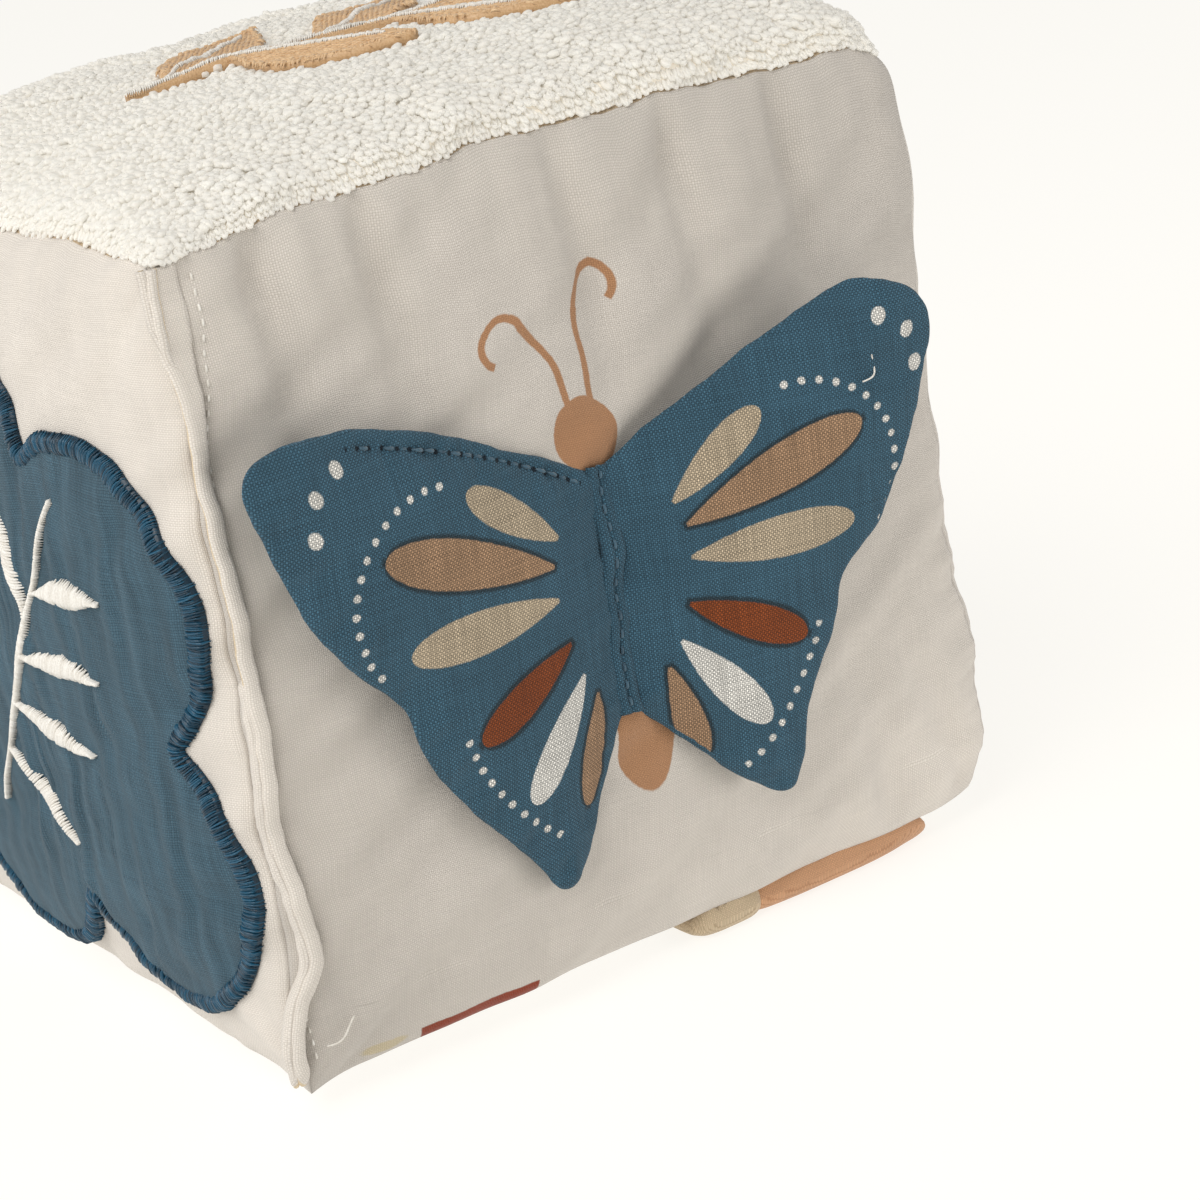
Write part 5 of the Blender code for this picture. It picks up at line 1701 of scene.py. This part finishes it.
class Wing:
    """A padded wing, a closed cushion of printed cloth in front and plain cloth behind."""

    SPAN = 0.0554
    HEIGHT = 0.0760
    SEAM = 0.0369
    HEM = 0.00065
    FRONT_RISE = 0.0021
    BACK_RISE = 0.0007
    PUFF_RUN = 0.0120
    ROOT = 0.0019
    STITCH_INSET = 0.0021
    STITCH_PITCH = 0.0022

    def __init__(self, plan: WingPlan) -> None:
        """Lay out the wing."""
        self.plan = plan
        half = self.SEAM / 2
        free = [(plan.side * x * self.SPAN, y * self.HEIGHT) for x, y in plan.shares]
        outline = curve_through([(0, half), *free, (0, -half)], 8)
        root = [(-plan.side * self.ROOT, -half + 0.0006), (-plan.side * self.ROOT, half - 0.0006)]
        outline = np.concatenate((outline, root))
        outline = spaced(outline, 0.0012)
        walk = np.arange(len(outline)) * 0.0012
        outline += outward(outline) * 0.00022 * smooth_waves(walk, 0.019, plan.seed + 4, 4)[:, None] * -plan.side
        self.outline = outline if plan.side < 0 else outline[::-1]
        turn = math.radians(-plan.side * plan.rest_angle)
        self.hinge = np.array((-0.0044 + plan.side * 0.00165, -0.06515, 0.06155))
        self.across = np.array((math.cos(turn), math.sin(turn), 0))
        self.facing = np.array((math.sin(turn), -math.cos(turn), 0))
        top = curve_through([(0, half), *free, (0, -half)], 8)[1:21]
        inner = [tuple(place - np.array((-plan.side * 0.0004, self.STITCH_INSET))) for place in top[[0, 9, 19]]]
        self.holes = Arc.through(*inner, 0.00075, self.STITCH_PITCH)

    @property
    def inks(self) -> tuple[Ink, ...]:
        """The wing's prints and, on the left wing, painted shade in the needle holes of its topstitches."""
        # Dark dots along the stitch line: painted shade inside the needle holes.
        holes = Ink(self.holes, (16, 32, 43))
        return (*self.plan.inks, holes) if self.plan.side < 0 else self.plan.inks

    def stitch_marks(self) -> tuple[Array, Array]:
        """Return the two ends of the topstitches along the top edge, each between two holes."""
        half_run = self.holes.radius * math.radians(self.holes.sweep) / 2
        steps = np.arange(-int(half_run / self.STITCH_PITCH), int(half_run / self.STITCH_PITCH))
        gap = 0.13

        def at(share: Array) -> Array:
            angle = math.radians(self.holes.middle) + share * self.STITCH_PITCH / self.holes.radius
            return np.array(self.holes.centre) + self.holes.radius * np.stack((np.cos(angle), np.sin(angle)), -1)

        return at(steps - 0.5 + gap), at(steps + 0.5 - gap)

    def build(self, front: bpy.types.Material, back: bpy.types.Material) -> None:
        """Make the cushion and, on the left wing, its topstitches."""
        flat, faces, rim = flat_mesh(self.outline, 0.00105, (0.0002, 0.0007, 0.0015))
        distance = rim_distance(flat, self.outline)
        edge = np.sqrt(np.clip(distance / 0.0009, 0, 1) * (2 - np.clip(distance / 0.0009, 0, 1)))
        puff = np.sin(math.pi / 2 * np.clip(distance / self.PUFF_RUN, 0, 1))
        dimples = np.zeros(len(flat))
        if self.plan.side < 0:
            for end in self.stitch_marks():
                away = np.linalg.norm(flat[:, None] - end[None], axis=2).min(1)
                dimples += 0.00080 * np.exp(-((away / 0.0007) ** 2))
        rng = np.random.default_rng(self.plan.seed)
        ring = np.argmin(np.linalg.norm(flat[:, None] - self.outline[None], axis=2), axis=1) * 0.001
        puckers = smooth_waves(ring, 0.016, self.plan.seed, 4) * 0.00042 * np.exp(-((distance - 0.003) / 0.0035) ** 2)
        front_height = self.HEM * edge + self.FRONT_RISE * puff - dimples + puckers * edge
        back_height = self.HEM * edge + self.BACK_RISE * puff + puckers * edge * 0.5
        free = np.setdiff1d(np.arange(len(flat)), rim)
        count = len(flat)
        number = np.arange(count)
        number[free] = count + np.arange(len(free))
        points = np.concatenate((self.place(flat, front_height), self.place(flat[free], -back_height[free])))
        swollen = flat + (flat - flat.mean(0)) * 0.018
        rest = np.concatenate((self.place(swollen, front_height), self.place(swollen[free], -back_height[free])))
        all_faces = np.concatenate((faces, number[faces[:, ::-1]]))
        start = points + rng.normal(0, 0.00003, points.shape)
        settled = ClothSimulation(pressure=1.5, bending=0.15, frames=16).run(start, rest, all_faces, rim)
        move = settled - points
        limit = 0.0005
        points = points + limit * np.tanh(move / limit)
        piece = Mesher.build(f"{self.plan.name}_cushion", points, all_faces, front,
                             np.concatenate((flat, flat[free])))
        piece.data.materials.append(back)
        sides = np.repeat([0, 1], len(faces)).astype(np.int32)
        rim_set = np.zeros(len(flat), dtype=bool)
        rim_set[rim] = True
        sides[:len(faces)][distance[faces].min(1) < 0.00045] = 1
        piece.data.polygons.foreach_set("material_index", sides)
        smoother = piece.modifiers.new("Smooth", "SUBSURF")
        smoother.levels = smoother.render_levels = 1
        Mesher.bake(piece)
        nodes = [f"{self.plan.name}_{layer}" for layer in ("front_cloth", "back_cloth", "wadding")]
        settle(piece, "", Slot.WING_COTTON, *nodes)
        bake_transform(piece)
        if self.plan.side < 0:
            self.stitches(flat, front_height)

    def place(self, flat: Array, height: Array) -> Array:
        """Turn places on the wing into places in the frame."""
        return (self.hinge + flat[:, 0:1] * self.across + flat[:, 1:2] * np.array((0.0, 0.0, 1.0))
                + height[:, None] * self.facing)

    def stitches(self, flat: Array, height: Array) -> None:
        """Make the topstitches."""
        first, last = self.stitch_marks()

        def level(places: Array) -> Array:
            return height[np.argmin(np.linalg.norm(flat[:, None] - places[None], axis=2), axis=0)]

        threads = Threads.empty()
        up = np.broadcast_to(self.facing, (len(first), 3))
        middle = level((first + last) / 2)
        threads.between(self.place(first, middle), self.place(last, middle), up, 0.00050, 0.0007, -0.0001)
        piece = threads.piece(f"{self.plan.name}_stitches", STITCH, BLUE_THREAD.material("wing_thread"), 14)
        settle(piece, self.plan.name, Slot.TEAL_THREAD, f"{self.plan.name}_thread")


class ButterflySeam:
    """The strip of cloth between the wings and the stitches that hold it."""

    X = -0.0044
    LOW = 0.0431
    LENGTH = 0.0369

    def build(self, front: Panel, material: bpy.types.Material, size: BlockSize) -> None:
        """Make the strip and its stitches."""
        z = np.linspace(self.LOW, self.LOW + self.LENGTH, 60)
        centre = self.X + 0.0001 * smooth_waves(z, 0.012, 71)
        half = 0.0020 + 0.00008 * smooth_waves(z, 0.006, 72)
        rows = []
        for across, up in ((-1, 0.0006), (-0.8, 0.0010), (-0.35, 0.0013), (-0.08, 0.0011), (0, 0.0008), (0.08, 0.0011),
                           (0.35, 0.0013), (0.8, 0.0010), (1, 0.0006)):
            rows.append(front.at(centre + across * half, z - size.middle[2], up)[0])
        points = np.stack(rows)
        weave = np.stack((points[..., 0].ravel(), points[..., 2].ravel()), -1)
        piece = Mesher.build("butterfly_seam_cloth", points.reshape(-1, 3),
                             Mesher.grid_faces(*points.shape[:2])[:, ::-1], material, weave)
        Mesher.thicken(piece, 0.0003)
        settle(piece, "block", Slot.WING_COTTON, "butterfly_seam_strip")
        marks = np.arange(self.LOW + 0.001, self.LOW + self.LENGTH - 0.002, 0.0026)
        start, up = front.at(np.full(len(marks), self.X), marks - size.middle[2], 0.0013)
        end, _ = front.at(np.full(len(marks), self.X), marks + 0.0015 - size.middle[2], 0.0013)
        threads = Threads.empty()
        threads.between(start, end, up, 0.0005, 0.0005)
        piece = threads.piece("butterfly_seam_stitches", STITCH, BLUE_THREAD.material("seam_thread"), 15)
        settle(piece, "block", Slot.TEAL_THREAD, "butterfly_seam_thread")


@dataclass(frozen=True)
class LooseThread:
    """A short end of white thread that lies loose on the cloth."""

    name: str
    body: str
    place: tuple[float, float, float]
    heading: tuple[float, float, float]
    length: float
    curl: float

    def build(self, material: bpy.types.Material) -> None:
        """Make the thread as a thin curved tube."""
        share = np.linspace(0, 1, 16)
        along = unit(np.array(self.heading))
        aside = unit(np.cross(along, (0.0, -1.0, 0.15)))
        line = (np.array(self.place) / 1000 + np.outer(share - 0.5, along) * self.length
                + np.outer(np.sin(share * math.pi), aside) * self.curl
                + np.outer(np.sin(share * math.tau), (0.0, -1.0, 0.0)) * 0.0003)
        settle(Mesher.tube(self.name, line, 0.00013, material), self.body, Slot.WHITE_THREAD)


@dataclass(frozen=True)
class Pad:
    """A padded cloth end that shows under the front edge."""

    name: str
    node: str
    ends: Place
    front_y: float
    slot: Slot
    cloth: WovenCloth
    pleats: float
    DEPTH = 0.0145
    SEAM_Y = -0.0572

    def build(self, bottom: Panel) -> None:
        """Make the closed pad between the bottom panel and the floor."""
        rings, angles = 16, 160
        theta = np.arange(angles) * math.tau / angles
        half = (self.ends[1] - self.ends[0]) / 2
        centre = np.array((sum(self.ends) / 2, self.front_y + self.DEPTH / 2))
        rim = np.stack((np.sign(np.cos(theta)) * np.abs(np.cos(theta)) ** 0.48 * half,
                        np.sign(np.sin(theta)) * np.abs(np.sin(theta)) ** 0.48 * self.DEPTH / 2), -1)
        rim *= (1 + 0.010 * smooth_waves(theta, 2.1, 81))[:, None]
        shares = np.sin(np.linspace(0.04, 1, rings) * math.pi / 2)
        flat = (centre + rim[None] * shares[:, None, None]).reshape(-1, 2)
        level = np.repeat(shares, angles)
        inside_y = np.maximum(flat[:, 1], self.SEAM_Y)
        roof = np.minimum(BlockSize().lift - bottom.swell(flat[:, 0], -inside_y) - 0.0003, 0.0049)
        outside = np.clip((self.SEAM_Y - flat[:, 1]) / 0.0020, 0, 1)
        roof = roof * (1 - outside) + 0.0066 * outside
        lean = (flat[:, 0] - centre[0]) + (flat[:, 1] - self.front_y) * 0.8
        crease = sum(self.pleats * np.exp(-(((lean - place) / 0.00042) ** 2)) for place in (-0.0022, -0.0006))
        crease = crease + 0.00016 * smooth_waves(flat[:, 0], 0.009, 82, 4)
        away = np.abs(flat[:, 0] - centre[0]) / half
        lifted = 0.0018 * np.clip((flat[:, 0] - centre[0]) / half, 0, 1) ** 3 * outside * (half > 0.015)
        round_share = (1 - level**9) ** 0.5
        middle = 0.0018 + 0.0010 * outside + lifted
        high = middle + (np.maximum(roof - 0.0003 * away**3 * outside, middle + 0.0003) - middle) * round_share
        high = high - crease * outside * round_share
        low = middle - (middle - lifted - 0.0003) * round_share
        top = np.concatenate((flat, high[:, None]), 1)
        under = np.concatenate((flat, low[:, None]), 1)
        count = len(flat)
        points = np.concatenate((top, under, [[*centre, high[0]], [*centre, low[0]]]))
        faces = Mesher.grid_faces(rings, angles, closed=True)[:, ::-1].tolist()
        faces += Mesher.grid_faces(rings, angles, count, closed=True).tolist()
        faces += [[2 * count, i, (i + 1) % angles] for i in range(angles)]
        faces += [[2 * count + 1, count + (i + 1) % angles, count + i] for i in range(angles)]
        run = flat + np.stack((np.zeros(count), high), -1)
        weave = np.concatenate((run, flat + (0.02, 0), [centre, centre]))
        piece = Mesher.build(self.name, points, faces, self.cloth.material(self.name), weave)
        close_seams(piece, 1e-6)
        settle(piece, "block", self.slot, self.node)


class PhotoCamera:
    """The camera of the reference photograph."""

    PLACE = Vector((-0.21255, -0.38297, 0.19033))
    LOOK = Vector((0.51496, 0.79384, -0.32349))
    RIGHT = Vector((0.80608, -0.57682, -0.13233))
    LENS = 85.68

    def build(self) -> None:
        """Add the camera and make it the scene's."""
        data = bpy.data.cameras.new("photo_camera")
        data.lens, data.sensor_width, data.sensor_fit = self.LENS, 36, "HORIZONTAL"
        data.clip_start, data.clip_end = 0.02, 20
        data.dof.use_dof = False
        camera = bpy.data.objects.new("photo_camera", data)
        bpy.context.scene.collection.objects.link(camera)
        right = self.RIGHT.normalized()
        up = right.cross(self.LOOK.normalized()).normalized()
        look = up.cross(right).normalized()
        turn = Matrix((right, up, -look)).transposed().to_4x4()
        camera.matrix_world = Matrix.Translation(self.PLACE) @ turn
        bpy.context.scene.camera = camera


@dataclass(frozen=True)
class Lamp:
    """A soft area lamp that points at the block."""

    name: str
    place: tuple[float, float, float]
    size: float
    watts: float
    colour: tuple[float, float, float]

    def build(self) -> None:
        """Add the lamp."""
        data = bpy.data.lights.new(self.name, "AREA")
        data.shape, data.size, data.energy, data.color = "DISK", self.size, self.watts, self.colour
        lamp = bpy.data.objects.new(self.name, data)
        lamp.location = self.place
        lamp.rotation_euler = (Vector((0, 0, 0.06)) - Vector(self.place)).to_track_quat("-Z", "Y").to_euler()
        bpy.context.scene.collection.objects.link(lamp)


class Studio:
    """Pale floor, even surrounding light and soft lamps."""

    BACKGROUND: Colour = (255, 253, 248)
    LAMPS = (
        Lamp("key_lamp", (-0.78, -0.42, 1.00), 0.80, 9.6, (1.0, 0.99, 0.975)),
        Lamp("side_lamp", (-1.0, 0.2, 0.40), 0.6, 2.2, (1.0, 0.995, 0.985)),
        Lamp("low_lamp", (0.34, -0.50, 0.04), 0.36, 1.05, (1.0, 0.99, 0.98)),
    )

    def build(self) -> None:
        """Add the floor, the world and the lamps."""
        mesh = bpy.data.meshes.new("studio_floor")
        mesh.from_pydata([(-4, -4, 0), (4, -4, 0), (4, 4, 0), (-4, 4, 0)], [], [(0, 1, 2, 3)])
        floor = bpy.data.objects.new("studio_floor", mesh)
        bpy.context.scene.collection.objects.link(floor)
        mesh.materials.append(self.floor_material())
        for lamp in self.LAMPS:
            lamp.build()
        world = bpy.data.worlds.new("studio_world")
        world.use_nodes = True
        sky = world.node_tree.nodes["Background"]
        sky.inputs["Color"].default_value = (1.0, 0.995, 0.985, 1)
        sky.inputs["Strength"].default_value = 0.43
        bpy.context.scene.world = world
        bpy.context.scene.view_settings.view_transform = "Standard"

    def floor_material(self) -> bpy.types.Material:
        """Return the pale floor's material, which is lit from inside a little."""
        made = bpy.data.materials.new("studio_floor")
        made.use_nodes = True
        shader = made.node_tree.nodes["Principled BSDF"]
        shader.inputs["Base Color"].default_value = (0.24, 0.236, 0.226, 1)
        shader.inputs["Roughness"].default_value = 1.0
        shader.inputs["Specular IOR Level"].default_value = 0.0
        shader.inputs["Emission Color"].default_value = linear(self.BACKGROUND)
        shader.inputs["Emission Strength"].default_value = 0.83
        return made


def mm(*values: float) -> tuple[float, ...]:
    """Turn millimetres into metres."""
    return tuple(value / 1000 for value in values)


RUST, TAN, BEIGE, CREAM = (134, 66, 28), (168, 134, 104), (190, 172, 146), (226, 222, 214)
BODY = (188, 140, 102)
DARK_RIM: Colour = (36, 50, 56)


def wing_inks(side: int) -> tuple[Ink, ...]:
    """Return the printed cells of one wing.

    Args:
        side: 1 for the right wing and -1 for the left one.

    Returns:
        Drops that fan out from the root, dotted arcs between them and small ovals below.
    """
    def spot(x: float, y: float) -> tuple[float, ...]:
        return mm(side * x, y)

    def turn(angle: float) -> float:
        return angle if side > 0 else 180 - angle

    def drop(x: float, y: float, angle: float, length: float, width: float) -> Drop:
        return Drop(spot(x, y), turn(angle), length / 1000, width / 1000)

    inks = [Ink(drop(x, y, angle, length, width), colour, DARK_RIM, rim / 1000)
            for x, y, angle, length, width, colour, rim in (
                (8, 11.0, 37, 18.5, 5.2, BEIGE, 0.0), (9.5, 7.6, 19, 30, 7.0, TAN, 0.6),
                (9.5, 3.0, 0, 26, 6.4, BEIGE, 0.0),
                (8.5, -3.5, -27, 20, 5.4, RUST, 0.7), (6.8, -8.5, -52, 20, 5.4, CREAM, 0.0),
                (4.8, -12, -76, 17, 4.6, TAN, 0.6))]
    for inner, middle, outer in (((25.5, 24.2), (41.5, 17.0), (39, 0.5)), ((28.5, -11.5), (24, -21.0), (15, -30.5))):
        inks.append(Ink(Arc.through(spot(*inner), spot(*middle), spot(*outer), 0.0011, 0.0026), CREAM))
    for x, y in ((46.5, 28.5), (47.5, 23.3), (42.3, 31.3)):
        inks.append(Ink(Oval(spot(x, y), mm(1.25, 1.0), turn(60)), CREAM))
    return tuple(inks)


LEFT_WING = WingPlan("left_wing", -1, 7, (
    (0.33, 0.366), (0.58, 0.443), (0.83, 0.474), (0.97, 0.458), (1.00, 0.390), (0.93, 0.233), (0.84, 0.092),
    (0.665, -0.052), (0.632, -0.142), (0.516, -0.290), (0.363, -0.420), (0.280, -0.515), (0.215, -0.520),
    (0.130, -0.430)), wing_inks(-1), 91)
RIGHT_WING = WingPlan("right_wing", 1, 17, (
    (0.16, 0.308), (0.41, 0.398), (0.635, 0.471), (0.77, 0.480), (0.89, 0.435), (0.912, 0.350), (0.835, 0.176),
    (0.732, 0.024), (0.610, -0.070), (0.580, -0.145), (0.482, -0.300), (0.436, -0.422), (0.390, -0.484),
    (0.290, -0.450), (0.110, -0.325)), wing_inks(1), 92)


def front_inks(middle_z: float, seam: float) -> tuple[Ink, ...]:
    """Return the butterfly's printed body and the small prints at the bottom seam of the front.

    Args:
        middle_z: Height of the front's middle.
        seam: How far along the cloth the bottom seam lies from the middle.

    Returns:
        The prints, the lowest first.
    """
    def at(x: float, z: float) -> tuple[float, ...]:
        return x / 1000, z / 1000 - middle_z

    def curl(*places: Place) -> list[Ink]:
        marks = [at(*place) for place in places]
        return [Ink(Arc.through(*marks[first:first + 3], 0.0011), BODY) for first in range(0, len(marks) - 2, 2)]

    return (
        *curl((-6.6, 88.4), (-9.2, 96.2), (-12.8, 101.7), (-16.0, 103.8), (-18.6, 102.4), (-19.2, 99.8), (-17.8, 97.8)),
        *curl((-2.2, 88.4), (-3.4, 96.0), (-2.9, 101.9), (-1.3, 105.7), (1.4, 107.3), (3.5, 105.3), (3.1, 102.3)),
        Ink(Oval(at(-4.6, 84.4), mm(5.6, 5.6)), BODY),
        Ink(Oval(at(-2.1, 39.6), mm(5.3, 9.7)), BODY),
        Ink(Arc.through(*((x / 1000, -seam + z / 1000) for x, z in ((-42, 0.0), (-33, 0.05), (-24, 0.0))), 0.0050),
            (150, 56, 14)),
        Ink(Oval((-0.049, 0.0022 - seam), mm(3.8, 0.9), -3), (222, 208, 176)),
    )


PADS = (
    Pad("tan_pad", "bottom_tan_pad", (0.0140, 0.0550), -0.0598, Slot.TAN_COTTON, TAN_CLOTH, 0.0),
    Pad("beige_pad", "bottom_beige_pad", (0.0062, 0.0202), -0.0602, Slot.BEIGE_COTTON, BEIGE_CLOTH, 0.0015),
)


LOOSE_THREADS = (
    LooseThread("loose_thread_1", "left_wing", (-36.5, -69.2, 61.0), (0.9, 0.0, -0.35), 0.0048, 0.0009),
    LooseThread("loose_thread_2", "right_wing", (34.0, -79.6, 86.0), (0.5, 0.0, 0.8), 0.0040, 0.0014),
    LooseThread("loose_thread_3", "block", (-56.8, -63.0, 13.0), (0.8, 0.0, 0.45), 0.0055, 0.0010),
)


def main() -> None:
    """Build the scene in order and log each piece."""
    logging.basicConfig(level=logging.INFO, format="%(name)s: %(message)s")
    size = BlockSize()
    cover = Cover(size)
    cover.drape()
    seam = float(cover.front.run(np.array(1.0), cover.front.half_height))
    cover.build(front_inks(float(size.middle[2]), seam))
    sprig = Sprig(cover.top)
    TerryPile(cover.top, sprig.outlines).build()
    sprig.build()
    Flower(cover.left).build()
    CornerFold(size, cover.front).build()
    plain = WING_CANVAS.material("wing_canvas")
    for plan in (LEFT_WING, RIGHT_WING):
        wing = Wing(plan)
        wing.build(WING_CANVAS.material(f"{plan.name}_print", wing.inks), plain)
    ButterflySeam().build(cover.front, plain, size)
    for pad in PADS:
        pad.build(cover.bottom)
    loose = WHITE_THREAD.material("loose_thread")
    for thread in LOOSE_THREADS:
        thread.build(loose)
    PhotoCamera().build()
    Studio().build()


if __name__ == "__main__":
    main()
